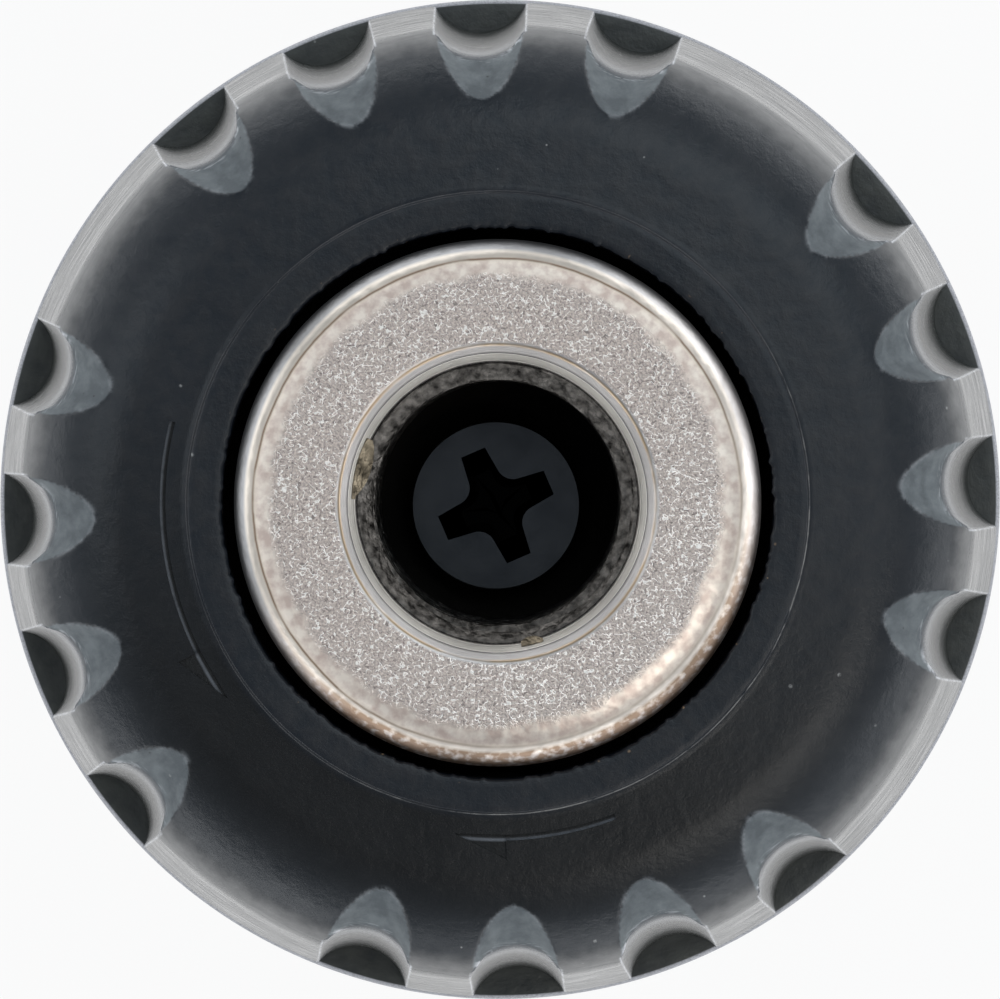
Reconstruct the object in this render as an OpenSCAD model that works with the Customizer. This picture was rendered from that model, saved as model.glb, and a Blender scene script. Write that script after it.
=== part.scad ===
// Two-sleeve keyless drill chuck, 10 mm capacity, 3/8-24 spindle thread.
// The axis is Z. The tail face, which meets the spindle, is the plane z = 0 and faces +Z.
// The nose points to -Z. Depths below are measured from the tail face towards the nose.

/* [Which part] */
// The node to draw, or all of them

/* [Spindle end] */
// Radius of the steel tail that passes through the rear sleeve
tail_r = 9.0; // [8:0.1:11]
// Edge rounding of the tail face
tail_fillet = 1.1; // [0.3:0.1:1.5]
// Minor radius of the 3/8-24 spindle thread
spindle_r = 4.2; // [4.19:0.01:4.32]
// Radius of the countersink at the mouth of the spindle thread
mouth_r = 5.37; // [4.9:0.01:6]
// Depth at which the spindle thread ends
spindle_depth = 14.5; // [12:0.1:16]
// Radius of the relief under the spindle thread
relief_r = 4.85; // [4.8:0.05:5.4]
// Depth of the floor of the relief, on which the screw head sits
web_top = 17.3; // [16:0.1:19]
// Depth of the front of the web
web_front = 20.5; // [19:0.1:23]

/* [Tool end] */
// Radius of the tool bore
tool_r = 5.2; // [5.1:0.01:5.5]
// Radius of the clear mouth of the tool bore, past the jaw holes
nose_mouth_r = 5.5; // [5.5:0.05:5.8]
// Depth at which the mouth of the tool bore begins
nose_mouth_top = 49.0; // [49:0.1:51]
// Overall length of the steel body
body_len = 56.0; // [52:0.5:60]
// Chamfer at the nose mouth
nose_chamfer = 0.6; // [0.2:0.1:1]
// Radius of the nose behind the cap
nose_r = 10.0; // [9.8:0.1:11]
// Radius of the nose under the cap
cap_seat_r = 9.2; // [8.8:0.1:9.6]

/* [Body] */
// Radius of the flange that carries the rear sleeve
flange_r = 14.0; // [13.5:0.1:14.5]
// Depth of the rear face of the flange
flange_top = 13.0; // [12.5:0.1:14]
// Depth of the front face of the flange, which takes the thrust
flange_front = 27.4; // [27:0.1:28]
// Radius of the neck that centres the bearing
neck_r = 11.5; // [11.3:0.1:11.7]
// Radius of the groove that holds the split nut
groove_r = 7.3; // [7.1:0.05:7.4]
// Gap over each face of the nut in its groove
groove_gap = 0.3; // [0.1:0.05:0.5]
// Chamfer on the rear edge of the flange
flange_chamfer = 0.4; // [0.2:0.1:0.8]

/* [Jaws] */
// Angle between a jaw and the chuck axis
jaw_angle = 15; // [12:0.5:18]
// Depth of the point where the three jaw axes meet
jaw_apex = 58.0; // [57:0.1:60]
// Radius of a jaw rod
jaw_r = 2.75; // [2.5:0.05:3]
// Radial running clearance of a jaw in its hole
jaw_clear = 0.06; // [0.03:0.01:0.1]
// Smallest radius gripped, with the jaws closed
grip_min_r = 0.4; // [0.3:0.05:1]
// Gap from each jaw flank to the plane it shares with its neighbour
flank_gap = 0.12; // [0.05:0.01:0.3]
// Length of travel of a jaw along its own axis
jaw_travel = 18.75; // [18.6:0.05:19]
// Distance past the nose that the closed jaws reach
jaw_reach = 2.2; // [1:0.1:3]
// Distance from the apex to the rear end of a closed jaw, along the jaw
jaw_rear = 28.9; // [28:0.1:30]
// Distance from the apex to the rear end of a jaw hole, along the jaw
jaw_hole_end = 50; // [49:0.5:52]
// Clearance of a retracted jaw inside the rear sleeve
jaw_relief = 0.35; // [0.2:0.05:0.5]
// Chamfer on the rear end of a jaw
jaw_chamfer = 0.4; // [0.2:0.1:0.8]
// Angle of the first jaw about the chuck axis
jaw_phase = 30; // [0:1:119]

/* [Jaw thread] */
// Pitch of the jaw thread, measured along a jaw
pitch = 1.5; // [1.2:0.1:1.8]
// Half width of a nut thread at its crest
crest_half = 0.2; // [0.15:0.01:0.3]
// Flank angle of the thread
flank_angle = 15; // [10:1:20]
// Depth to which the nut thread reaches into a jaw
thread_depth = 0.75; // [0.5:0.05:0.9]
// Gap over the crests and under the roots
root_gap = 0.12; // [0.08:0.01:0.2]
// Gap on each thread flank
flank_clear = 0.12; // [0.08:0.01:0.15]
// Distance from the apex to the first groove of a jaw's thread
thread_start = 21.0; // [20:0.5:22]
// Mean distance of the jaw thread from the chuck axis
thread_mean_r = 9.0; // [8.5:0.1:9.5]

/* [Nut and bearing] */
// Depth of the rear face of the nut
nut_top = 30.6; // [30:0.1:31]
// Length of the nut
nut_len = 6.6; // [6:0.1:7]
// Outside radius of the two nut halves
nut_r = 13.2; // [13:0.1:13.4]
// Gap across the split of the nut
nut_split = 0.1; // [0.05:0.05:0.3]
// Outside radius of the band round the nut
band_r = 14.0; // [13.8:0.1:14.2]
// Thickness of each bearing race
race_t = 0.6; // [0.5:0.1:0.8]
// Inside radius of the rear race
rear_race_in = 11.55; // [11.5:0.05:11.8]
// Inside radius of the front race
front_race_in = 11.8; // [11.7:0.05:12]
// Outside radius of both races
race_out = 13.9; // [13.6:0.1:14]
// Radius of a bearing ball
ball_r = 1.1; // [1:0.05:1.2]
// Radius of the ball circle
ball_pitch_r = 12.8; // [12.6:0.1:12.9]
// Number of balls
ball_count = 18; // [12:1:20]
// Thickness of the ball cage
cage_t = 0.9; // [0.6:0.1:1.1]
// Inside radius of the ball cage
cage_in = 11.75; // [11.6:0.05:11.8]
// Outside radius of the ball cage
cage_out = 13.85; // [13.8:0.05:13.95]
// Radius of a ball pocket at the faces of the cage
pocket_r = 0.9; // [0.8:0.05:1]
// Play of a ball in its race and its pocket
ball_play = 0.05; // [0.03:0.01:0.1]

/* [Rear sleeve] */
// Radius of the hole round the tail
rear_hole_r = 9.42; // [9.2:0.01:10]
// Depth of the flat ring round the hole
ring_depth = 1.0; // [0.5:0.1:2]
// Outside radius of the flat ring
ring_r = 10.59; // [10.2:0.01:11]
// Height of the step round the flat ring
ring_step = 0.22; // [0.1:0.01:0.4]
// Radius at which the back face starts to round over
dome_start_r = 12.6; // [12:0.1:13.5]
// Radius of curvature of the dome
dome_curve = 5.46; // [4:0.1:7]
// Radius of the crisp edge round the dome
dome_edge_r = 16.4; // [16:0.1:17]
// Radius of the sleeve at its front end
rear_end_r = 17.72; // [17.2:0.01:17.9]
// Depth of the front end of the sleeve
rear_end = 17.2; // [16.5:0.1:18]
// Inside radius of the hollow for the jaws
rear_hollow_r = 15.25; // [15.1:0.05:15.5]
// Depth at which the hollow has its full radius
rear_hollow_top = 7.5; // [7:0.1:9]
// Depth of the inside of the back wall at the hole
back_wall = 3.0; // [2.6:0.1:3.4]
// Radius at which the inside of the back wall leaves its flat
back_flat_r = 12.6; // [12:0.1:13]
// Radius of the corner inside the back wall
back_corner_r = 14.4; // [14:0.1:14.6]
// Depth of the corner inside the back wall
back_corner = 4.4; // [4.2:0.1:5]
// Gap between the flange and the step inside the sleeve
flange_gap = 0.6; // [0.3:0.1:1]

/* [Front sleeve] */
// Outside radius of the rim
front_r = 18.0; // [17.5:0.1:19]
// Depth of the rear face of the sleeve
front_top = 17.5; // [17.3:0.1:18]
// Depth of the front face of the sleeve
front_end = 48.2; // [48:0.1:50]
// Depth of the front edge of the rim
rim_end = 20.4; // [19:0.1:22]
// Height of the rim over the grip
rim_step = 0.2; // [0.1:0.05:0.3]
// Radius of the grip at its front end
grip_end_r = 16.9; // [16.5:0.1:17.4]
// Depth of the front end of the grip
grip_end = 39.5; // [38:0.1:40.5]
// Radius of the shoulder in front of the grip
shoulder_r = 16.2; // [15.8:0.1:16.5]
// Depth of the shoulder
shoulder = 41.4; // [41:0.1:42]
// Radius of the front end of the cone
cone_end_r = 13.2; // [12.8:0.1:13.5]
// Depth of the front end of the cone
cone_end = 47.6; // [47:0.1:47.8]
// Outside radius of the front face
front_face_r = 12.5; // [12.2:0.1:12.7]
// Depth of the bushing that runs on the nose
bush_top = 45.4; // [44:0.1:46.5]
// Radius of the hollow behind the bushing
bush_hollow_r = 11.6; // [11.2:0.1:11.8]
// Thickness of the collar in front of the nut
collar_t = 1.8; // [1.5:0.1:2.2]
// Gap between the nose and the collar
collar_gap = 0.6; // [0.4:0.1:0.8]
// Inside radius over the flange and the bearing
front_hollow_r = 14.35; // [14.3:0.05:14.6]
// Radial running clearance on the nose
nose_clear = 0.2; // [0.1:0.05:0.3]
// Gap between the sleeve and the nose cap
cap_gap = 0.2; // [0.1:0.05:0.4]
// Outside radius of the nose cap
cap_r = 12.2; // [11.5:0.1:13]
// Depth of the front edge of the nose cap
cap_end = 54.8; // [53:0.1:55.5]
// Length of the rim of the nose cap
cap_rim = 1.4; // [1:0.1:2]
// Radius of the front edge of the nose cap
cap_tip_r = 9.95; // [9.7:0.05:10.4]
// Rounding of the edges of the nose cap
cap_edge = 0.2; // [0.1:0.05:0.3]
// Height of the chamfer at the front edge of the nose cap
cap_chamfer = 0.45; // [0.2:0.05:0.5]
// Width of each driving lug between the front sleeve and the nut
lug_w = 3.0; // [2:0.1:4]
// Depth of each driving lug
lug_h = 1.4; // [1:0.1:2]
// Distance of each driving lug from the axis
lug_in = 11.1; // [10.9:0.1:11.4]
// Play round each driving lug
lug_play = 0.05; // [0.02:0.01:0.1]

/* [Flutes] */
// Number of groups of flutes round each sleeve
flute_groups = 4; // [3:1:6]
// Number of flutes in a group
flutes_in_group = 4; // [2:1:5]
// Angle between flutes in a group
flute_pitch = 18.4; // [15:0.1:20]
// Angle of the middle of the first group
flute_phase = 11.4; // [0:0.1:90]
// Radius of the flute cutter
flute_cut_r = 2.35; // [2:0.05:3]
// Radius at which a flute starts on the dome
flute_apex_r = 13.8; // [13:0.1:15]
// Radius of the fold between the ramp and the floor of a flute
flute_fold_r = 15.68; // [15:0.01:16]
// Slope of the ramp of a flute
flute_ramp = 42; // [30:1:60]
// Half angle of the cone that cuts the ramp
flute_cone = 22; // [5:1:30]
// Radius of the floor at the front end of the rear sleeve
flute_end_r = 17.08; // [16.8:0.01:17.4]
// Depth of the flutes of the front sleeve below the rim
flute_deep = 0.85; // [0.5:0.05:1]
// Depth at which the flutes of the front sleeve start
front_flute_top = 24.0; // [23.5:0.5:26]
// Depth at which the flutes of the front sleeve end
front_flute_end = 46.0; // [42:0.5:47]
// Radius of the bottom of a flute of the front sleeve at its front end
front_flute_end_r = 15.2; // [15:0.1:15.6]

/* [Retaining screw] */
// Radius of the screw head
head_r = 3.03; // [2.8:0.01:3.5]
// Depth of the top of the screw head
head_top = 14.9; // [14.6:0.1:15.5]
// Radius of the screw shank
shank_r = 2.45; // [2.3:0.05:2.5]
// Depth of the end of the screw
shank_end = 29.8; // [26:0.1:30.5]
// Radial clearance of the screw in the web
shank_clear = 0.25; // [0.1:0.05:0.5]
// Span of the cross recess
recess_span = 4.2; // [3.5:0.1:4.6]
// Width of an arm of the cross recess
recess_w = 0.96; // [0.8:0.01:1.2]
// Depth of the cross recess
recess_deep = 1.6; // [1:0.1:2]
// Angle of the cross recess
recess_angle = 23; // [0:1:90]

/* [Fits] */
// Gap left between pressed parts
press_gap = 0.01; // [0:0.005:0.02]

/* [Hidden] */
$fn = 96;
sa = sin(jaw_angle);
ca = cos(jaw_angle);
nut_end = nut_top + nut_len;
ball_depth = (flange_front + race_t + nut_top - race_t) / 2;
race_groove_r = ball_r + ball_play;
flute_angles = [for (g = [0 : flute_groups - 1], f = [0 : flutes_in_group - 1])
    flute_phase + g * 360 / flute_groups + (f - (flutes_in_group - 1) / 2) * flute_pitch];
dome_centre_r = dome_start_r - dome_curve * sin(4);
dome_top = ring_depth + ring_step + 0.13;
function dome_slope(r) = asin((r - dome_centre_r) / dome_curve);
function dome_depth(r) = dome_top + dome_curve * (cos(4) - cos(dome_slope(r)));
fold_depth = dome_depth(flute_apex_r) + (flute_fold_r - flute_apex_r) * tan(flute_ramp);
floor_tilt = atan((flute_end_r - flute_fold_r) / (front_top - fold_depth));
lead_angle = atan(pitch * ca / (2 * PI * thread_mean_r));

// A point of the thread, a distance s from the apex along a jaw and h outside the jaw's surface
function thread_point(s, h) =
    [s * sa + (jaw_r + h) * ca, -jaw_apex + s * ca - (jaw_r + h) * sa];

// A solid of revolution from points given as radius and depth
module turned(points) {
    rotate_extrude() polygon([for (p = points) [p[0], -p[1]]]);
}

// What a rounded outer corner loses: a ring outside a torus
module corner_cut(centre_r, centre_depth, curve, from_r, from_depth) {
    difference() {
        rotate_extrude() translate([from_r, -centre_depth])
            square([curve * 2, centre_depth - from_depth + curve]);
        rotate_extrude() translate([centre_r, -centre_depth]) circle(r = curve);
    }
}

// Places a child, drawn along +Z, on the axis of a jaw with its origin at the apex
module on_jaw(k) {
    rotate([0, 0, jaw_phase + 120 * k]) translate([0, 0, -jaw_apex])
        rotate([0, jaw_angle, 0]) children();
}

module jaw_rod(k, r, from, to) {
    on_jaw(k) translate([0, 0, from]) cylinder(h = to - from, r = r);
}

// ---- steel body ----
module chuck_body() {
    color([0.74, 0.71, 0.67]) difference() {
        turned(concat(
            [[mouth_r, 0], [tail_r, 0]],
            [[tail_r, flange_top], [flange_r - flange_chamfer, flange_top],
            [flange_r, flange_top + flange_chamfer],
            [flange_r, flange_front], [neck_r, flange_front], [neck_r, nut_top - groove_gap],
            [groove_r, nut_top - groove_gap], [groove_r, nut_end + groove_gap],
            [nose_r, nut_end + groove_gap],
            [nose_r, front_end + cap_gap], [cap_seat_r, front_end + cap_gap],
            [cap_seat_r, cap_end], [cap_seat_r - 0.6, body_len],
            [nose_mouth_r + nose_chamfer, body_len], [nose_mouth_r, body_len - nose_chamfer],
            [nose_mouth_r, nose_mouth_top],
            [tool_r, nose_mouth_top - nose_mouth_r + tool_r], [tool_r, web_front],
            [shank_r + shank_clear, web_front], [shank_r + shank_clear, web_top],
            [relief_r, web_top], [relief_r, spindle_depth], [spindle_r, spindle_depth],
            [spindle_r, mouth_r - spindle_r]]));
        corner_cut(tail_r - tail_fillet, tail_fillet, tail_fillet, tail_r - tail_fillet, 0);
        for (k = [0 : 2]) jaw_rod(k, jaw_r + jaw_clear, 1, jaw_hole_end);
    }
}

// ---- retaining screw, its head towards the spindle ----
module retaining_screw() {
    color([0.12, 0.12, 0.13]) difference() {
        turned([[0, head_top], [head_r - 0.3, head_top], [head_r, head_top + 0.3],
            [head_r, web_top], [shank_r, web_top], [shank_r, shank_end - 0.6],
            [shank_r - 0.6, shank_end], [0, shank_end]]);
        for (a = [0, 90]) rotate([0, 0, recess_angle + a])
            translate([-recess_span / 2, -recess_w / 2, -head_top - recess_deep])
                cube([recess_span, recess_w, recess_deep + 1]);
    }
}

// ---- flutes ----
// A flute of the rear sleeve: a ramp down from the dome, then a floor that rises to the front
module rear_flute() {
    past = 0.9;
    translate([flute_fold_r, 0, -fold_depth]) {
        rotate([0, 180 - floor_tilt, 0]) translate([-flute_cut_r, 0, -4])
            cylinder(h = 22, r = flute_cut_r);
        rotate([0, flute_ramp - 90, 0])
            translate([flute_cut_r * cos(flute_cone), 0, flute_cut_r * sin(flute_cone)])
                rotate([0, -flute_cone, 0]) translate([0, 0, -past])
                    cylinder(h = (flute_cut_r - 0.4) / tan(flute_cone) + past,
                        r1 = flute_cut_r + past * tan(flute_cone), r2 = 0.4);
    }
}

// A flute of the front sleeve, closed by the rim and open towards the nose
module front_flute(top_r, end_r, top, end) {
    tilt = atan((top_r - end_r) / (end - top));
    translate([top_r + flute_cut_r, 0, -top]) rotate([0, 180 + tilt, 0]) {
        cylinder(h = (end - top) / cos(tilt), r = flute_cut_r);
        sphere(r = flute_cut_r);
    }
}

// ---- rear sleeve, fixed to the body ----
// What the dome of the back face leaves off a flat ring
module dome_cut() {
    difference() {
        rotate_extrude() translate([dome_start_r, -dome_depth(dome_edge_r)])
            square([dome_edge_r - dome_start_r + 1, 4]);
        rotate_extrude() translate([dome_centre_r, -dome_top - dome_curve * cos(4)])
            circle(r = dome_curve);
    }
}

module rear_sleeve() {
    color([0.16, 0.17, 0.19]) difference() {
        turned(concat(
            [[rear_hole_r, ring_depth], [ring_r, ring_depth],
            [ring_r + 0.06, ring_depth + ring_step]],
            [[dome_start_r, dome_top], [dome_edge_r, dome_top],
            [dome_edge_r, dome_depth(dome_edge_r)]],
            [[rear_end_r, rear_end - 0.15], [rear_end_r - 0.15, rear_end],
            [flange_r + press_gap, rear_end], [flange_r + press_gap, flange_top + flange_gap],
            [rear_hollow_r, flange_top + flange_gap], [rear_hollow_r, rear_hollow_top],
            [back_corner_r, back_corner], [back_flat_r, back_wall],
            [rear_hole_r, back_wall]]));
        dome_cut();
        for (k = [0 : 2]) jaw_rod(k, jaw_r + jaw_relief, jaw_rear, jaw_hole_end);
        for (a = flute_angles) rotate([0, 0, a]) rear_flute();
    }
}

// ---- front sleeve and what turns with it ----
module front_sleeve() {
    color([0.15, 0.16, 0.18]) difference() {
        union() {
            difference() {
                turned([[front_hollow_r, front_top], [front_r - 0.15, front_top],
                    [front_r, front_top + 0.15], [front_r, rim_end],
                    [front_r - rim_step, rim_end + rim_step], [grip_end_r, grip_end],
                    [shoulder_r, shoulder], [cone_end_r, cone_end], [front_face_r, front_end],
                    [nose_r + nose_clear, front_end], [nose_r + nose_clear, bush_top],
                    [bush_hollow_r, bush_top], [bush_hollow_r, nut_end + collar_t],
                    [nose_r + collar_gap, nut_end + collar_t],
                    [nose_r + collar_gap, nut_end], [band_r + press_gap, nut_end],
                    [band_r + press_gap, nut_top - 0.1],
                    [front_hollow_r, nut_top - 0.1]]);
                for (a = flute_angles) rotate([0, 0, a])
                    front_flute(front_r - flute_deep, front_flute_end_r, front_flute_top,
                        front_flute_end);
            }
            for (a = [0, 180]) rotate([0, 0, 90 + a])
                translate([lug_in, -lug_w / 2, -nut_end - 0.5])
                    cube([nut_r - 0.3 - lug_in, lug_w, lug_h + 0.5]);
        }
    }
}

// Corners of the nut thread over one pitch, as distance along the jaw and height
function nut_profile(n) = let (
    half = crest_half + (thread_depth + root_gap) * tan(flank_angle),
    s = n * pitch)
    [[s - half, root_gap], [s - crest_half, -thread_depth],
    [s + crest_half, -thread_depth], [s + half, root_gap]];

module nut_half(from) {
    first = floor((jaw_apex - nut_end) / ca / pitch) - 3;
    last = ceil((jaw_apex - nut_top) / ca / pitch) + 2;
    corners = [for (n = [first : last]) each nut_profile(n)];
    steps = 30;
    margin = asin(nut_split / 2 / 10);
    per = len(corners) + 2;
    points = [for (i = [0 : steps])
        let (t = margin + (180 - 2 * margin) * i / steps, lift = pitch * (t + from) / 360,
            a = thread_point(corners[0][0] + lift, 0),
            b = thread_point(corners[len(corners) - 1][0] + lift, 0),
            section = concat([for (c = corners) thread_point(c[0] + lift, c[1])],
                [[nut_r + 2, b[1]], [nut_r + 2, a[1]]]))
        for (q = section) [q[0] * cos(t), q[0] * sin(t), q[1]]];
    sides = [for (i = [0 : steps - 1], j = [0 : per - 1])
        let (j2 = (j + 1) % per)
        for (f = [[i * per + j, (i + 1) * per + j2, i * per + j2],
            [i * per + j, (i + 1) * per + j, (i + 1) * per + j2]]) f];
    start = [for (j = [0 : per - 1]) j];
    finish = [for (j = [per - 1 : -1 : 0]) steps * per + j];
    rotate([0, 0, from]) resize([0, 0, nut_len]) difference() {
        intersection() {
            polyhedron(points, concat(sides, [start], [finish]), convexity = 12);
            translate([0, 0, -nut_end]) cylinder(h = nut_len, r = nut_r);
        }
        rotate([0, 0, 90])
            translate([nose_r + collar_gap, -lug_w / 2 - lug_play, -nut_end - 1])
                cube([6, lug_w + 2 * lug_play, lug_h + lug_play + 1]);
    }
}

module nut_half_a() {
    color([0.45, 0.44, 0.42]) nut_half(0);
}

module nut_half_b() {
    color([0.42, 0.41, 0.40]) nut_half(180);
}

module nut_band() {
    color([0.66, 0.66, 0.65]) turned([[nut_r + press_gap, nut_top], [band_r, nut_top],
        [band_r, nut_end - 0.3], [band_r - 0.3, nut_end], [nut_r + press_gap, nut_end]]);
}

// ---- thrust bearing ----
module race(inner, top, face) {
    difference() {
        translate([0, 0, -top - race_t]) difference() {
            cylinder(h = race_t, r = race_out);
            translate([0, 0, -1]) cylinder(h = race_t + 2, r = inner);
        }
        rotate_extrude() translate([ball_pitch_r, -ball_depth]) circle(r = race_groove_r);
    }
}

module rear_race() {
    color([0.62, 0.62, 0.62]) race(rear_race_in, flange_front);
}

module front_race() {
    color([0.62, 0.62, 0.62]) race(front_race_in, nut_top - race_t);
}

module ball_cage() {
    color([0.65, 0.52, 0.30]) difference() {
        translate([0, 0, -ball_depth - cage_t / 2]) difference() {
            cylinder(h = cage_t, r = cage_out);
            translate([0, 0, -1]) cylinder(h = cage_t + 2, r = cage_in);
        }
        for (i = [0 : ball_count - 1]) rotate([0, 0, i * 360 / ball_count])
            translate([ball_pitch_r, 0, -ball_depth - 1]) cylinder(h = 2, r = pocket_r);
        for (i = [0 : ball_count - 1]) rotate([0, 0, i * 360 / ball_count])
            translate([ball_pitch_r, 0, -ball_depth]) sphere(r = ball_r + 0.02);
    }
}

module ball(i) {
    color([0.8, 0.8, 0.8]) rotate([0, 0, (i - 1) * 360 / ball_count])
        translate([ball_pitch_r, 0, -ball_depth]) sphere(r = ball_r);
}

// ---- nose cap, pressed on the body ----
module nose_cap() {
    top = front_end + cap_gap;
    color([0.72, 0.72, 0.72]) turned([[cap_seat_r + press_gap, top], [cap_r - cap_edge, top],
        [cap_r, top + cap_edge], [cap_r, top + cap_rim],
        [cap_r - cap_edge, top + cap_rim + 2 * cap_edge], [cap_tip_r, cap_end - cap_chamfer],
        [cap_tip_r - cap_chamfer, cap_end], [cap_seat_r + press_gap, cap_end]]);
}

// ---- jaws, drawn fully open ----
// One groove of a jaw's thread, a ring cut round an axis beside the chuck axis
module jaw_groove(s) {
    ring_r = 7.9;
    half = crest_half + flank_clear;
    deep = -thread_depth - root_gap;
    mid = thread_point(s, deep);
    shift = mid[0] - ring_r;
    low = half - root_gap * tan(flank_angle);
    high = half + (thread_depth + 1.2) * tan(flank_angle);
    translate([mid[0], 0, mid[1]]) rotate([lead_angle, 0, 0]) translate([-mid[0], 0, -mid[1]])
        translate([shift, 0, 0]) rotate_extrude() polygon([
            for (c = [[s - low, deep], [s + low, deep], [s + high, 1.2], [s - high, 1.2]])
                let (q = thread_point(c[0], c[1])) [q[0] - shift, q[1]]]);
}

module jaw(k) {
    phi = jaw_phase + 120 * k;
    first = pitch * phi / 360;
    low = floor(thread_start / pitch);
    count = floor((jaw_rear + jaw_travel - thread_start) / pitch) + 1;
    tip = grip_min_r;
    edge = (tip - flank_gap / sin(60)) * tan(60);
    far = 16;
    color([0.48, 0.47, 0.46]) rotate([0, 0, phi]) difference() {
        translate([jaw_travel * sa, 0, jaw_travel * ca]) intersection() {
            translate([0, 0, -jaw_apex]) rotate([0, jaw_angle, 0]) {
                translate([0, 0, -4]) cylinder(h = jaw_rear + 4 - jaw_chamfer, r = jaw_r);
                translate([0, 0, jaw_rear - jaw_chamfer])
                    cylinder(h = jaw_chamfer, r1 = jaw_r, r2 = jaw_r - jaw_chamfer);
            }
            translate([0, 0, -body_len - jaw_reach]) linear_extrude(height = 40) polygon([
                [tip, -edge], [far, -edge - (far - tip) * tan(60)],
                [far, edge + (far - tip) * tan(60)], [tip, edge]]);
        }
        for (n = [0 : count]) jaw_groove((low + n) * pitch + first);
    }
}

module jaw_1() {
    jaw(0);
}

module jaw_2() {
    jaw(1);
}

module jaw_3() {
    jaw(2);
}

chuck_body();
retaining_screw();
rear_sleeve();
nose_cap();
rear_race();
front_sleeve();
nut_half_a();
nut_half_b();
nut_band();
front_race();
ball_cage();
ball(1);  // ball_01
ball(2);  // ball_02
ball(3);  // ball_03
ball(4);  // ball_04
ball(5);  // ball_05
ball(6);  // ball_06
ball(7);  // ball_07
ball(8);  // ball_08
ball(9);  // ball_09
ball(10);  // ball_10
ball(11);  // ball_11
ball(12);  // ball_12
ball(13);  // ball_13
ball(14);  // ball_14
ball(15);  // ball_15
ball(16);  // ball_16
ball(17);  // ball_17
ball(18);  // ball_18
jaw_1();
jaw_2();
jaw_3();
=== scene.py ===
import bpy
import bmesh
import math
import numpy as np
from mathutils import Matrix, Vector


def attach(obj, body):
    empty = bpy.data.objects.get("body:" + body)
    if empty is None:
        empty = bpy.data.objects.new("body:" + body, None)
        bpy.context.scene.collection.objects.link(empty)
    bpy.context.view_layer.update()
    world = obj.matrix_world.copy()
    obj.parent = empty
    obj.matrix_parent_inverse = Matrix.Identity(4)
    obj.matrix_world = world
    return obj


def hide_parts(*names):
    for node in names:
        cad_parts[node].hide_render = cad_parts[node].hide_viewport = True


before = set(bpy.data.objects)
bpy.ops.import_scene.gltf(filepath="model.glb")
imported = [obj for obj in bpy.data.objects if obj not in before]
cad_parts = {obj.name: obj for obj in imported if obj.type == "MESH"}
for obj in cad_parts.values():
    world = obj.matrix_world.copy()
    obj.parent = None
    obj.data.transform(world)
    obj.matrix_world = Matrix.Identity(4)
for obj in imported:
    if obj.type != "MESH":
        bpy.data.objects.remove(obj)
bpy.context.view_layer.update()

# ---- camera: straight down on the tail, 0.3 m from it ----
PICTURE_PX, LENS_PX, SENSOR = 1000.0, 8821.0, 36.0
eye = Vector((0.00156, 0.0021, 0.300))
aim = Vector((0.0, 0.0, -0.018))
camera = bpy.data.objects.new("tail_camera", bpy.data.cameras.new("tail_camera"))
camera.data.sensor_width = SENSOR
camera.data.lens = LENS_PX / PICTURE_PX * SENSOR
camera.data.clip_start = 0.01
camera.location = eye
ahead = (aim - eye).normalized()
right = ahead.cross(Vector((0, 1, 0))).normalized()
camera.rotation_euler = Matrix((right, right.cross(ahead), -ahead)).transposed().to_euler()
bpy.context.scene.collection.objects.link(camera)
bpy.context.scene.camera = camera
bpy.context.scene.view_settings.view_transform = "Standard"

# ---- sizes of this chuck, in millimetres; depths run from the tail face to the nose ----
MM = 0.001
# the steel tail: its radius, the rounding of its edge, and where its flat ends
TAIL_R, TAIL_ROUND, TAIL_FLAT_R = 9.0, 1.1, 7.3
# the spindle socket: mouth, thread, relief, and the web on which the screw sits
MOUTH_R, THREAD_CREST_R, THREAD_ROOT_R = 5.37, 4.2, 4.76
THREAD_PITCH, THREAD_END, RELIEF_R = 25.4 / 24.0, 14.5, 4.85
THREAD_BLANK_R, THREAD_BACK_R = 4.5, 4.83
WEB_TOP, WEB_FRONT, SCREW_HOLE_R = 17.3, 20.5, 2.7
# the retaining screw: its place, head, shank and cross recess
SCREW_OFF = (-0.13, -0.19, 0.0)
SCREW_TOP, SCREW_HEAD_R, SHANK_R, SHANK_END, TIP_R, SCREW_END = 14.9, 3.03, 2.45, 29.2, 1.85, 29.8
CROSS_REACH, CROSS_HALF, CROSS_ROOT, CROSS_ROUND = 2.1, 0.47, 0.64, 0.46
CROSS_DEEP, CROSS_NARROWS, CROSS_TURN = 1.9, 0.60, math.radians(23.5)
# the body outside, from the flange to the nose, and the tool bore
TOOL_R, NOSE_MOUTH_R, NOSE_MOUTH_TOP, BODY_LEN = 5.2, 5.5, 49.0, 56.0
FLANGE_R, FLANGE_TOP, FLANGE_FRONT, NECK_R = 14.0, 13.0, 27.4, 11.5
GROOVE_R, NUT_TOP, NUT_END, NOSE_R = 7.3, 30.6, 37.2, 10.0
CAP_SEAT_R, CAP_TOP, CAP_END = 9.2, 48.4, 54.8
JAW_ANGLE, JAW_APEX, JAW_HOLE_R, JAW_PHASE, JAW_HOLE_LONG = math.radians(15), 58.0, 2.81, 30.0, 49.0
# the rear sleeve's back: hole, ring, the cone that rises from it, and the dome
HOLE_R, RING_DEPTH, RING_R, RING_STEP, CONE_RISE = 9.42, 1.0, 10.59, 0.22, 0.13
DOME_R0, DOME_CURVE, DOME_EDGE_R, DOME_START = 12.6, 5.46, 16.4, math.radians(4)
SLEEVE_END_R, SLEEVE_END, SHOULDER = 17.90, 17.2, 1.1
STEP_DEPTH = RING_DEPTH + RING_STEP
DOME_TOP = STEP_DEPTH + CONE_RISE
DOME_CENTRE_R = DOME_R0 - DOME_CURVE * math.sin(DOME_START)
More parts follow.
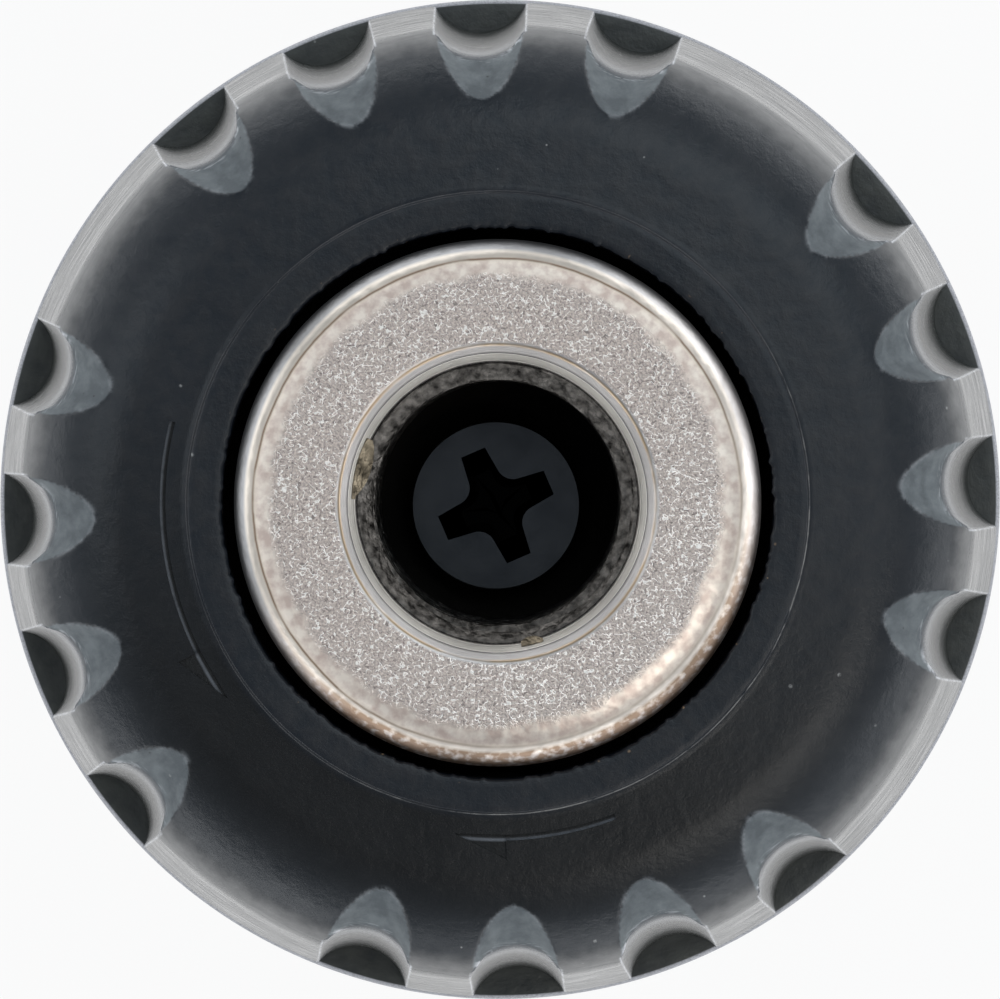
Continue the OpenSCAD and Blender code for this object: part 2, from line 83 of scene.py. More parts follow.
# the curved direction arrows engraved in the cone
ARROW_R, ARROW_DEEP, ARROW_HALF, ARROW_HEAD, ARROW_CUT = 11.45, 0.18, 0.1, 0.75, 0.6
# the front sleeve: rim, barrel, and the hollow for the nut and its band
FRONT_R, FRONT_TOP, FRONT_END, RIM_END = 18.0, 17.5, 48.2, 20.4
BAND_R, FRONT_HOLLOW_R, BUSH_TOP, BUSH_HOLLOW_R = 14.0, 14.35, 45.4, 11.6
BARREL_CUT_R, BARREL_CUT_TOP, BARREL_FLOOR_R = 2.5, 24.0, FRONT_R - 0.85
GRIP_END, GRIP_STEP, GRIP_END_R = 39.3, 39.7, 16.8
CONE_TOP, CONE_END, CONE_TOP_R = 41.4, 47.4, 16.2
LUG_SIZE, LUG_OUT, LUG_DEPTH = (3.0, 1.8, 1.9), 12.0, 36.75
# the flutes: four groups of four, each a sloping ramp that folds into a hollow in the flank
FLUTE_GROUPS, FLUTE_FIRST, FLUTE_STEP = 4, 11.4, 18.4
FLUTE_ANGLES = np.array([FLUTE_FIRST + 90 * g + (i - 1.5) * FLUTE_STEP
                         for g in range(FLUTE_GROUPS) for i in range(4)])
FLUTE_CUT_R, FLUTE_APEX_R, FLUTE_FOLD_R, FLUTE_END_R, FLUTE_END = 1.88, 13.8, 15.42, 16.88, 17.5
FLUTE_HALF, FOLD_BLEND, LIP_SOFT, RAMP = 2.3, 0.42, 0.045, math.radians(42)


def dome_depth(r):
    lean = np.arcsin(np.clip((r - DOME_CENTRE_R) / DOME_CURVE, -1, 1))
    return DOME_TOP + DOME_CURVE * (math.cos(DOME_START) - np.cos(lean))


FOLD_DEPTH = float(dome_depth(FLUTE_APEX_R)) + (FLUTE_FOLD_R - FLUTE_APEX_R) * math.tan(RAMP)
DOME_EDGE_DEPTH = float(dome_depth(DOME_EDGE_R))
FLANK_LEAN = (SLEEVE_END_R - DOME_EDGE_R) / (SLEEVE_END - DOME_EDGE_DEPTH)


# ---- shaping helpers ----
def spread(a, b, count):
    return [a + (b - a) * i / count for i in range(count)]


def verts_of(geom):
    return [v for v in geom if isinstance(v, bmesh.types.BMVert)]


def turned(profile, steps, closed=True):
    """A shell of revolution: a sixteenth is spun, then doubled round four times and joined."""
    bm = bmesh.new()
    ring = [bm.verts.new((r * MM, 0.0, -d * MM)) for r, d in profile]
    edges = [bm.edges.new((a, b)) for a, b in zip(ring, ring[1:] + (ring[:1] if closed else []))]
    bmesh.ops.spin(bm, geom=ring + edges, cent=(0, 0, 0), axis=(0, 0, 1),
                   angle=math.pi / 8, steps=steps // 16)
    for k in range(4):
        copy = bmesh.ops.duplicate(bm, geom=bm.verts[:] + bm.edges[:] + bm.faces[:])["geom"]
        bmesh.ops.rotate(bm, verts=verts_of(copy), cent=(0, 0, 0),
                         matrix=Matrix.Rotation(math.pi / 8 * 2 ** k, 3, "Z"))
    bmesh.ops.remove_doubles(bm, verts=bm.verts, dist=1e-7)
    bmesh.ops.recalc_face_normals(bm, faces=bm.faces)
    return bm


def as_piece(name, bm, sharp=35):
    mesh = bpy.data.meshes.new(name)
    bm.to_mesh(mesh)
    bm.free()
    mesh.shade_smooth()
    mesh.set_sharp_from_angle(angle=math.radians(sharp))
    piece = bpy.data.objects.new(name, mesh)
    bpy.context.scene.collection.objects.link(piece)
    return piece


def places(piece):
    """The piece's points in millimetres, one row each."""
    co = np.empty(len(piece.data.vertices) * 3, np.float32)
    piece.data.vertices.foreach_get("co", co)
    return co.reshape(-1, 3).astype(float) * 1000.0


def put_places(piece, co):
    piece.data.vertices.foreach_set("co", (co * MM).astype(np.float32).ravel())
    piece.data.update()


def put_mask(piece, name, values):
    mask = piece.data.attributes.new(name, "FLOAT", "POINT")
    mask.data.foreach_set("value", values.astype(np.float32))


def cut_with(piece, cutters, sharp=35):
    """Boolean difference with each cutter object, baked into the mesh."""
    for c in cutters:
        m = piece.modifiers.new("cut", "BOOLEAN")
        m.operation, m.solver, m.object = "DIFFERENCE", "EXACT", c
    graph = bpy.context.evaluated_depsgraph_get()
    done = bpy.data.meshes.new_from_object(piece.evaluated_get(graph))
    piece.modifiers.clear()
    old, piece.data = piece.data, done
    bpy.data.meshes.remove(old)
    for c in cutters:
        bpy.data.objects.remove(c)
    piece.data.materials.clear()
    piece.data.shade_smooth()
    piece.data.set_sharp_from_angle(angle=math.radians(sharp))
    return piece


def fit(piece, material, body, slot, *nodes):
    """Gives a finished piece its material, its body and the nodes it stands for; the slot is not used."""
    piece.data.materials.append(material)
    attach(piece, body)
    if nodes:
        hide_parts(*nodes)
    return piece


# ---- materials ----
def group_socket(tree, name, way, value=None):
    s = tree.interface.new_socket(name=name, in_out=way, socket_type="NodeSocketFloat")
    if value is not None:
        s.default_value = value
    return s


def make_speckle_group():
    """Small scattered marks, such as dust or blasted glints, as a mask."""
    g = bpy.data.node_groups.new("speckle", "ShaderNodeTree")
    group_socket(g, "Per metre", "INPUT", 1500.0)
    group_socket(g, "Share", "INPUT", 0.1)
    group_socket(g, "Size", "INPUT", 0.22)
    group_socket(g, "Mask", "OUTPUT")
    n, l = g.nodes, g.links
    i, o = n.new("NodeGroupInput"), n.new("NodeGroupOutput")
    t = n.new("ShaderNodeTexCoord")
    v = n.new("ShaderNodeTexVoronoi")
    l.new(t.outputs["Object"], v.inputs["Vector"])
    l.new(i.outputs["Per metre"], v.inputs["Scale"])
    c = n.new("ShaderNodeSeparateColor")
    l.new(v.outputs["Color"], c.inputs["Color"])
    pick = n.new("ShaderNodeMath"); pick.operation = "LESS_THAN"
    l.new(c.outputs["Red"], pick.inputs[0]); l.new(i.outputs["Share"], pick.inputs[1])
    size = n.new("ShaderNodeMath"); size.operation = "MULTIPLY_ADD"
    l.new(c.outputs["Green"], size.inputs[0]); l.new(i.outputs["Size"], size.inputs[1])
    size.inputs[2].default_value = 0.08
    near = n.new("ShaderNodeMapRange")
    l.new(v.outputs["Distance"], near.inputs["Value"])
    l.new(size.outputs[0], near.inputs["From Max"])
    near.inputs["From Min"].default_value = 0.02
    near.inputs["To Min"].default_value, near.inputs["To Max"].default_value = 1.0, 0.0
    both = n.new("ShaderNodeMath"); both.operation = "MULTIPLY"
    l.new(near.outputs[0], both.inputs[0]); l.new(pick.outputs[0], both.inputs[1])
    l.new(both.outputs[0], o.inputs["Mask"])
    return g


def make_grain_group():
    """Fine and broad unevenness of a surface, each from 0 to 1."""
    g = bpy.data.node_groups.new("grain", "ShaderNodeTree")
    group_socket(g, "Fine per metre", "INPUT", 9000.0)
    group_socket(g, "Broad per metre", "INPUT", 300.0)
    group_socket(g, "Fine", "OUTPUT")
    group_socket(g, "Broad", "OUTPUT")
    n, l = g.nodes, g.links
    i, o = n.new("NodeGroupInput"), n.new("NodeGroupOutput")
    t = n.new("ShaderNodeTexCoord")
    for name, detail in (("Fine", 3.0), ("Broad", 4.0)):
        noise = n.new("ShaderNodeTexNoise")
        noise.inputs["Detail"].default_value = detail
        l.new(t.outputs["Object"], noise.inputs["Vector"])
        l.new(i.outputs[name + " per metre"], noise.inputs["Scale"])
        l.new(noise.outputs["Fac"], o.inputs[name])
    return g


SPECKLE, GRAIN = make_speckle_group(), make_grain_group()


class Finish:
    """One Principled material and short ways to add nodes to it."""

    def __init__(self, name, **sockets):
        self.mat = bpy.data.materials.new(name)
        self.mat.use_nodes = True
        self.n, self.l = self.mat.node_tree.nodes, self.mat.node_tree.links
        self.shader = self.n["Principled BSDF"]
        for key, value in sockets.items():
            self.shader.inputs[key.replace("_", " ")].default_value = value

    def node(self, kind, **props):
        x = self.n.new("ShaderNode" + kind)
        for k, v in props.items():
            setattr(x, k, v)
        return x

    def put(self, value, socket):
        if isinstance(value, (int, float, tuple, list)):
            socket.default_value = value
        else:
            self.l.new(value, socket)

    def maths(self, op, a, b=0.0, c=0.0, clamp=False):
        x = self.node("Math", operation=op, use_clamp=clamp)
        for k, v in enumerate((a, b, c)):
            self.put(v, x.inputs[k])
        return x.outputs[0]

    def times(self, *values):
        out = values[0]
        for v in values[1:]:
            out = self.maths("MULTIPLY", out, v)
        return out

    def most(self, *values):
        out = values[0]
        for v in values[1:]:
            out = self.maths("MAXIMUM", out, v)
        return out

    def facing(self, angle, bearing):
        """1 where an angle in degrees points along the bearing, down to -1 opposite it."""
        return self.maths("COSINE", self.times(self.maths("SUBTRACT", angle, bearing), math.pi / 180))

    def ramp(self, value, lo, hi, out_lo=0.0, out_hi=1.0, smooth=False):
        x = self.node("MapRange", interpolation_type="SMOOTHSTEP" if smooth else "LINEAR")
        self.put(value, x.inputs["Value"])
        for key, v in (("From Min", lo), ("From Max", hi), ("To Min", out_lo), ("To Max", out_hi)):
            self.put(v, x.inputs[key])
        return x.outputs[0]

    def band(self, value, lo, hi, soft):
        """1 between lo and hi, fading to 0 over soft."""
        return self.times(self.ramp(value, lo - soft, lo + soft), self.ramp(value, hi + soft, hi - soft))

    def mix(self, fac, a, b):
        x = self.node("Mix", data_type="RGBA")
        self.put(fac, x.inputs["Factor"])
        self.put(a, x.inputs["A"])
        self.put(b, x.inputs["B"])
        return x.outputs["Result"]

    def grain(self, fine, broad):
        x = self.node("Group")
        x.node_tree = GRAIN
        x.inputs["Fine per metre"].default_value = fine
        x.inputs["Broad per metre"].default_value = broad
        return x.outputs["Fine"], x.outputs["Broad"]

    def speckle(self, per_metre, share, size=0.22):
        x = self.node("Group")
        x.node_tree = SPECKLE
        x.inputs["Per metre"].default_value = per_metre
        x.inputs["Share"].default_value = share
        x.inputs["Size"].default_value = size
        return x.outputs["Mask"]

    def lines(self, value, per_mm, detail=3.0):
        """Uneven parallel lines along a value in millimetres."""
        x = self.node("TexNoise", noise_dimensions="1D")
        x.inputs["Scale"].default_value = per_mm
        x.inputs["Detail"].default_value = detail
        self.put(value, x.inputs["W"])
        return x.outputs["Fac"]

    def noise(self, scale, detail=2.0, shift=0.0, rough=0.5):
        """Plain noise over the surface, scale per metre; shift picks another part of it."""
        x = self.node("TexNoise")
        x.inputs["Scale"].default_value, x.inputs["Detail"].default_value = scale, detail
        x.inputs["Roughness"].default_value = rough
        move = self.node("Mapping")
        move.inputs["Location"].default_value = (shift, shift * 0.7, shift * 1.3)
        self.l.new(self.node("TexCoord").outputs["Object"], move.inputs["Vector"])
        self.l.new(move.outputs[0], x.inputs["Vector"])
        return x.outputs["Fac"]

    def smear(self, d, r, a, along, across, detail=4.0):
        """Noise drawn out round the axis: along per radian, across per millimetre."""
        t = self.times(a, math.pi / 180)
        v = self.node("CombineXYZ")
        self.put(self.times(self.maths("COSINE", t), along), v.inputs[0])
        self.put(self.times(self.maths("SINE", t), along), v.inputs[1])
        self.put(self.times(self.maths("MULTIPLY_ADD", r, 1.6, d), across), v.inputs[2])
        x = self.node("TexNoise")
        x.inputs["Scale"].default_value, x.inputs["Detail"].default_value = 1.0, detail
        x.inputs["Roughness"].default_value = 0.62
        self.l.new(v.outputs[0], x.inputs["Vector"])
        return x.outputs["Fac"]

    def flecks(self, scale, shift, share):
        """Short thin curved strokes, as grit leaves on soft metal."""
        line = self.maths("ABSOLUTE", self.maths("SUBTRACT", self.noise(scale, 1.0, shift), 0.5))
        here = self.noise(scale * 1.5, 0.0, shift + 0.5)
        return self.times(self.ramp(line, 0.045, 0.012), self.ramp(here, share, share + 0.05))

    def mask(self, name):
        return self.node("Attribute", attribute_name=name).outputs["Fac"]

    def place(self, centre=(0.0, 0.0)):
        """Depth from the tail face and radius in millimetres, and the angle in degrees, about a centre."""
        t = self.node("TexCoord")
        s = self.node("SeparateXYZ")
        self.l.new(t.outputs["Object"], s.inputs[0])
        x, y, d = (self.maths("MULTIPLY", s.outputs[k], m / MM) for k, m in ((0, 1), (1, 1), (2, -1)))
        x, y = self.maths("SUBTRACT", x, centre[0]), self.maths("SUBTRACT", y, centre[1])
        r = self.maths("SQRT", self.maths("ADD", self.times(x, x), self.times(y, y)))
        a = self.maths("MULTIPLY", self.maths("ARCTAN2", y, x), 180.0 / math.pi)
        return d, r, a

    def bumps(self, *heights):
        """Chained bumps, each a (height, distance in metres) pair."""
        last = None
        for h, dist in heights:
            b = self.node("Bump")
            b.inputs["Strength"].default_value = 1.0
            b.inputs["Distance"].default_value = dist
            self.l.new(h, b.inputs["Height"])
            if last is not None:
                self.l.new(last, b.inputs["Normal"])
            last = b.outputs["Normal"]
        self.l.new(last, self.shader.inputs["Normal"])

    def set(self, key, value):
        self.put(value, self.shader.inputs[key])


# the nylon's colours: clean, a painted shade for the side away from the light, rubbed, painted sheen and
# glints, painted light and shade for the hollows and arrows, and what lies on it
NYLON_DARK, NYLON_PALE = (0.0040, 0.0074, 0.0126, 1), (0.0130, 0.0145, 0.0182, 1)
NYLON_SHADE = (0.0006, 0.0008, 0.0012, 1)
NYLON_SLOPE_SHEEN, NYLON_SHEEN_AND_WEAR, NYLON_GLINT = (0.028, 0.033, 0.039, 1), (0.30, 0.295, 0.29, 1), (0.66, 0.67, 0.70, 1)
RAMP_DARK, RAMP_PALE, RAMP_FOLD_GLINT = (0.070, 0.084, 0.094, 1), (0.142, 0.162, 0.172, 1), (0.42, 0.43, 0.45, 1)
HOLLOW_SHEEN, HOLLOW_SHADE, LIP_GLINT = (0.070, 0.080, 0.092, 1), (0.014, 0.016, 0.014, 1), (0.30, 0.32, 0.34, 1)
PIT_BLACK, HOLE_RUST, STEP_GLINT = (0.003, 0.003, 0.003, 1), (0.34, 0.23, 0.14, 1), (0.45, 0.44, 0.42, 1)
ARROW_SHADE, ARROW_GLINT = (0.0008, 0.0008, 0.001, 1), (0.15, 0.16, 0.18, 1)
BARREL_RUB, EDGE_GLINT = (0.17, 0.17, 0.178, 1), (0.46, 0.46, 0.49, 1)
GAP_DUST, DUST = (0.060, 0.064, 0.058, 1), (0.50, 0.50, 0.49, 1)


def back_wear(f, colour, rough, mottle, broad, streak, rubs):
    """Wear and painted light of the rear sleeve: painted shade on one side, painted sheen on the dome and on
    the rubbed shoulder, matte flute ramps with painted glints, painted light and shade in the hollows and
    arrows.
    """
    d, r, a = f.place()
    ramp, corner, hollow = f.mask("ramp"), f.mask("corner"), f.mask("hollow")
    # painted shade: the cone and dome are darkened on the side away from the light
    lit_side = f.ramp(f.facing(a, 78.0), -0.75, 0.15)
    shade_side = f.times(f.ramp(lit_side, 1.0, 0.0), f.ramp(r, 10.6, 10.9), f.ramp(r, 15.2, 14.0))
    colour = f.mix(f.times(shade_side, 0.92), colour, NYLON_SHADE)
    # painted sheen: the dome is lightened towards its slope, in patches
    slope_sheen = f.times(f.ramp(r, 13.0, 15.2), f.ramp(mottle, 0.25, 0.7, 0.6, 1.0))
    colour = f.mix(f.times(slope_sheen, 0.7), colour, NYLON_SLOPE_SHEEN)
    # the shoulder, lightened grey by painted sheen with streaks of rubbing, and the flank
    patchy = f.maths("MULTIPLY_ADD", f.maths("SUBTRACT", mottle, 0.5), 0.6, r)
    shoulder = f.times(f.ramp(patchy, 15.4, 16.55, smooth=True), f.ramp(hollow, 1.0, 0.2))
    edge_rubs = f.most(f.ramp(r, 16.45, 16.0), rubs)
    grey = f.times(shoulder, f.ramp(edge_rubs, 0.0, 0.7, 0.35, 1.0), f.ramp(d, 4.0, 9.0, 1.0, 0.55))
    colour = f.mix(f.times(grey, 0.75), colour, NYLON_SHEEN_AND_WEAR)
    flank = f.times(f.ramp(r, 16.2, 16.5), f.ramp(hollow, 1, 0))
    rough = f.maths("MULTIPLY_ADD", flank, f.ramp(streak, 0.35, 0.65, -0.20, 0.10), rough)
    # the flutes: ramps, folds and hollows, with painted highlights and painted light and shade
    lighter = f.ramp(f.maths("MULTIPLY_ADD", r, 0.16, mottle), 2.72, 3.05)
    matte = f.mix(lighter, RAMP_DARK, RAMP_PALE)
    # painted highlight: pale streaks along the fold
    fold_glint = f.times(f.mask("fold"), f.ramp(f.smear(d, r, a, 30.0, 7.0, 3.0), 0.52, 0.60))
    matte = f.mix(f.times(fold_glint, 0.8), matte, RAMP_FOLD_GLINT)
    matte = f.mix(f.times(f.speckle(2600.0, 0.10, 0.10), 0.9), matte, PIT_BLACK)
    colour = f.mix(ramp, colour, matte)
    rough = f.maths("MULTIPLY_ADD", ramp, 0.18, rough)
    # painted light and shade in the hollows: lighter near the fold, darker deeper in
    sunk = f.times(hollow, f.ramp(ramp, 1.0, 0.0))
    colour = f.mix(sunk, colour, f.mix(f.ramp(d, 3.6, 6.5), HOLLOW_SHEEN, HOLLOW_SHADE))
    rough = f.maths("MULTIPLY_ADD", sunk, -0.10, rough)
    # painted highlights on one side of each fold and along the corners of the land
    low_side_glint = f.times(f.mask("fold"), f.ramp(mottle, 0.52, 0.58), f.mask("low_side"))
    pale = f.most(f.times(corner, f.ramp(mottle, 0.36, 0.60, 0.15, 0.95)), low_side_glint)
    colour = f.mix(pale, colour, NYLON_GLINT)
    # painted highlight along the lip where the dome meets the flute
    lip = f.times(f.mask("lip"), f.ramp(mottle, 0.48, 0.60))
    colour = f.mix(f.times(lip, 0.4), colour, LIP_GLINT)
    # rust specks in the hole, and a painted highlight on one side of the step outside the ring
    hole = f.times(f.band(r, 9.2, 9.62, 0.04), f.speckle(3800.0, 0.16, 0.30))
    colour = f.mix(hole, colour, HOLE_RUST)
    wavy = f.maths("MULTIPLY_ADD", f.maths("SUBTRACT", broad, 0.5), 0.10, r)
    step = f.times(f.band(wavy, RING_R + 0.05, RING_R + 0.07, 0.02), f.ramp(broad, 0.40, 0.52),
                   f.ramp(mottle, 0.36, 0.56), f.ramp(f.facing(a, -45.0), 0.2, 0.6))
    colour = f.mix(f.times(step, 0.75), colour, STEP_GLINT)
    # the arrows, found by how far they are sunk below the cone, with painted shade in the grooves and a painted
    # highlight on their outer edge
    cone_slope = CONE_RISE / (DOME_R0 - RING_R)
    cone = f.maths("MULTIPLY_ADD", r, cone_slope, STEP_DEPTH - CONE_RISE * RING_R / (DOME_R0 - RING_R))
    sunk_by = f.maths("SUBTRACT", d, cone)
    groove = f.times(f.band(r, ARROW_R - 0.3, ARROW_R + 0.9, 0.02), f.ramp(sunk_by, 0.10, 0.14))
    lit_groove_side = f.times(f.band(r, ARROW_R + 0.02, ARROW_R + 0.12, 0.03), f.ramp(mottle, 0.3, 0.5, 0.4, 1.0))
    colour = f.mix(groove, colour, f.mix(lit_groove_side, ARROW_SHADE, ARROW_GLINT))
    return colour, rough


def front_wear(f, colour, fine, mottle, broad, rubs):
    """Wear and painted light of the front sleeve: dust in the gap behind it, a painted highlight on the rim's
    edges and a lightly rubbed barrel.
    """
    d, r, a = f.place()
    gap_dust = f.times(f.ramp(d, FRONT_TOP + 0.03, FRONT_TOP + 0.01), f.ramp(mottle, 0.3, 0.7, 0.5, 1.0))
    colour = f.mix(gap_dust, colour, GAP_DUST)
    # painted highlight on the rounded edges of the rim
    rim = f.times(f.band(d, FRONT_TOP - 0.05, FRONT_TOP + 0.35, 0.05), f.ramp(r, 17.83, 17.87))
    edge = f.most(rim, f.times(f.band(d, RIM_END - 0.15, RIM_END + 0.2, 0.1), 0.5))
    colour = f.mix(f.times(rubs, f.ramp(broad, 0.3, 0.7), 0.10), colour, BARREL_RUB)
    return f.mix(f.times(edge, f.ramp(fine, 0.25, 0.6, 0.55, 1.0)), colour, EDGE_GLINT)


def moulded_black(name, back):
    """Black moulded nylon: satin, mottled, rubbed grey where it is handled, with a little dust, and with the
    painted light and shade of back_wear and front_wear.
    """
    f = Finish(name)
    f.shader.inputs["Specular IOR Level"].default_value = 0.45
    fine, broad = f.grain(15000.0, 420.0)
    mottle = f.noise(1500.0, 6.0, rough=0.6)
    streak = f.smear(*f.place(), 9.0, 3.0, 5.0)
    rubs = f.times(f.ramp(streak, 0.38, 0.66), f.ramp(broad, 0.25, 0.60, 0.35, 1.0))
    colour = f.mix(f.ramp(mottle, 0.36, 0.64), NYLON_DARK, NYLON_PALE)
    rough = f.ramp(fine, 0.25, 0.75, 0.27, 0.35)
    rough = f.maths("MULTIPLY_ADD", f.ramp(broad, 0.3, 0.7), 0.06, rough)
    if back:
        colour, rough = back_wear(f, colour, rough, mottle, broad, streak, rubs)
    else:
        colour = front_wear(f, colour, fine, mottle, broad, rubs)
    dusty = f.times(f.speckle(2400.0, 0.016, 0.14), f.ramp(fine, 0.3, 0.6), 0.75)
    f.set("Base Color", f.mix(dusty, colour, DUST))
    f.set("Roughness", rough)
    f.bumps((fine, 0.0000045), (mottle, 0.000030), (streak, 0.0000040))
    return f.mat


def steel(name, colour, rough, fine=9000.0, mottled=0.1, bump=0.000004, turned_rings=0.0, broad=250.0):
    """Bare steel or brass: uneven in colour by mottled, with fine grain and, if wanted, turned rings."""
    f = Finish(name, Metallic=1.0)
    small, large = f.grain(fine, broad)
    dark = tuple(c * (1 - mottled) for c in colour) + (1,)
    f.set("Base Color", f.mix(f.ramp(large, 0.3, 0.7), dark, tuple(colour) + (1,)))
    f.set("Roughness", f.ramp(small, 0.25, 0.75, rough * 0.85, rough * 1.2))
    heights = [(small, bump)]
    if turned_rings:
        d, r, a = f.place()
        heights.append((f.lines(f.maths("ADD", r, d), 14.0), turned_rings))
    f.bumps(*heights)
    return f.mat


# the plate's colours: polished, shaded, blasted, and stained, with a painted brown reflection and an oily black
# that is partly painted shade
PLATE_DARK, PLATE_PALE, PLATE_SHADED = (0.66, 0.62, 0.60, 1), (0.78, 0.74, 0.72, 1), (0.30, 0.30, 0.305, 1)
GRIT_DARK, GRIT_PALE = (0.465, 0.402, 0.372, 1), (0.745, 0.647, 0.590, 1)
FLECK_DARK, FLECK_BRIGHT = (0.15, 0.135, 0.128, 1), (1.0, 0.97, 0.93, 1)
CREAM_DARK, CREAM_PALE, CREAM_EDGE = (0.72, 0.59, 0.52, 1), (1.0, 0.90, 0.80, 1), (0.82, 0.73, 0.62, 1)
MOUTH_GREY, MOUTH_PALE, MOUTH_GOLD = (0.42, 0.40, 0.38, 1), (0.80, 0.76, 0.68, 1), (0.46, 0.31, 0.16, 1)
BROWN_LINE_AND_REFLECTION, OIL_AND_SHADE_BLACK = (0.18, 0.10, 0.048, 1), (0.012, 0.011, 0.010, 1)


def plated_body():
    """Nickel plate: sand-blasted tail face, polished edges with painted shade and a painted brown reflection,
    turned lines in the mouth, oily and dark inside, partly as painted shade.
    """
    f = Finish("nickel_plate", Metallic=1.0)
    d, r, a = f.place()
    fine, broad = f.grain(13000.0, 420.0)
    tail = f.ramp(d, 1.35, 1.25)
    lower = f.facing(a, -48.0)
    # the blasted flat, and the polished metal round it
    ragged = f.ramp(f.noise(900.0, 4.0), 0.3, 0.7, 7.58, 7.90)
    blast_edge = f.maths("MULTIPLY_ADD", f.ramp(lower, 0.3, 1.0), -0.22, ragged)
    flat = f.times(f.ramp(d, 0.08, 0.05), f.ramp(r, 5.46, 5.54),
                   f.ramp(f.maths("SUBTRACT", r, blast_edge), 0.16, -0.16))
    bright, dark = f.flecks(4700.0, 0.0, 0.46), f.flecks(4300.0, 3.1, 0.47)
    grit = f.mix(f.ramp(fine, 0.36, 0.64), GRIT_DARK, GRIT_PALE)
    grit = f.mix(f.times(dark, 0.60), grit, FLECK_DARK)
    grit = f.mix(f.times(bright, 0.9), grit, FLECK_BRIGHT)
    polished = f.mix(f.ramp(broad, 0.3, 0.7), PLATE_DARK, PLATE_PALE)
    shaded = f.times(f.ramp(lower, 0.4, -0.5), f.ramp(r, 8.2, 8.4), tail)
    polished = f.mix(shaded, polished, PLATE_SHADED)
    creamy = f.mix(f.ramp(f.noise(2600.0, 3.0), 0.35, 0.65), CREAM_DARK, CREAM_PALE)
    polished = f.mix(f.times(f.band(r, 7.40, 8.34, 0.06), tail), polished, creamy)
    colour = f.mix(flat, polished, grit)
    cream = f.times(f.band(r, 8.22, 8.62, 0.05), tail)
    colour = f.mix(f.times(cream, 0.6), colour, CREAM_EDGE)
    # the mouth: its turned rings, the lead-in to them, and a golden line round it
    rings = f.times(f.band(r, 4.84, 5.09, 0.015), tail)
    lead_in = f.times(f.band(r, 5.11, 5.33, 0.02), tail)
    colour = f.mix(f.times(lead_in, 0.35), colour, MOUTH_GREY)
    colour = f.mix(f.times(rings, 0.7), colour, MOUTH_PALE)
    golden = f.times(f.band(r, 5.34, 5.44, 0.03), f.ramp(broad, 0.36, 0.5, 0.3, 1.0), tail)
    colour = f.mix(f.times(golden, 0.8), colour, MOUTH_GOLD)
    # the brown line round the edge, and outside it, towards the bottom, a painted brown reflection
    wavy = f.maths("MULTIPLY_ADD", broad, 0.16, r)
    line = f.times(f.band(wavy, 8.37, 8.44, 0.03), f.ramp(broad, 0.34, 0.48, 0.4, 1.0),
                   f.ramp(lower, 0.8, 0.2, 0.3, 1.0))
    brown_reflection = f.times(f.ramp(f.maths("MULTIPLY_ADD", broad, -0.25, r), 8.30, 8.42),
                    f.ramp(f.facing(a, -75.0), 0.1, 0.65))
    brown = f.most(line, f.times(brown_reflection, f.ramp(f.noise(3200.0, 3.0), 0.80, 0.48)))
    colour = f.mix(f.times(brown, tail, 0.85), colour, BROWN_LINE_AND_REFLECTION)
    # oil in the seams, and inside an oily black that also stands in as painted shade
    jag = f.maths("MULTIPLY_ADD", fine, 0.10, r)
    seam = f.most(f.band(r, 5.095, 5.115, 0.012), f.band(jag, 4.76, 4.86, 0.015))
    inside = f.times(f.ramp(d, 1.15, 1.7), f.ramp(r, 14.6, 14.5), f.ramp(d, BODY_LEN - 0.6, BODY_LEN - 1.2))
    oily = f.most(inside, f.times(seam, f.ramp(d, 1.2, 1.1)))
    f.set("Base Color", f.mix(oily, colour, OIL_AND_SHADE_BLACK))
    rough = f.maths("MULTIPLY_ADD", flat, -0.03, 0.35)
    satin = f.times(f.ramp(r, 8.46, 8.30), f.ramp(r, 5.5, 5.6), tail)
    rough = f.maths("MULTIPLY_ADD", satin, f.ramp(lower, 0.0, 0.9, 0.20, 0.02), rough)
    f.set("Roughness", f.maths("MULTIPLY_ADD", f.most(rings, lead_in, oily), 0.14, rough))
    pitted = f.times(f.maths("MULTIPLY_ADD", f.maths("SUBTRACT", bright, dark), 0.5, fine), flat)
    turned_lines = f.times(f.lines(r, 22.0), f.most(rings, lead_in))
    f.bumps((fine, 0.0000018), (f.noise(1700.0), 0.000028), (pitted, 0.000034), (turned_lines, 0.00003))
    return f.mat


def black_oxide():
    """Blackened screw steel, a little shiny on the face and dead black in the recess, a painted shade."""
    f = Finish("black_oxide", Metallic=1.0)
    d, r, a = f.place(SCREW_OFF[:2])
    fine, broad = f.grain(9000.0, 900.0)
    worn = f.speckle(3000.0, 0.06)
    colour = f.mix(f.ramp(broad, 0.3, 0.7), (0.058, 0.062, 0.068, 1), (0.086, 0.090, 0.096, 1))
    colour = f.mix(f.times(worn, 0.25), colour, (0.30, 0.29, 0.28, 1))
    colour = f.mix(f.times(f.ramp(r, 2.95, 2.99), 0.8), colour, (0.30, 0.30, 0.30, 1))
    # painted shade: the cross recess is made dead black
    inside = f.most(f.times(f.ramp(d, 14.94, 15.00), f.ramp(r, 2.6, 2.5)), f.ramp(d, 15.0, 15.1))
    f.set("Base Color", f.mix(inside, colour, (0.002, 0.002, 0.002, 1)))
    f.set("Roughness", f.ramp(fine, 0.25, 0.75, 0.17, 0.24))
    f.bumps((fine, 0.000002))
    return f.mat


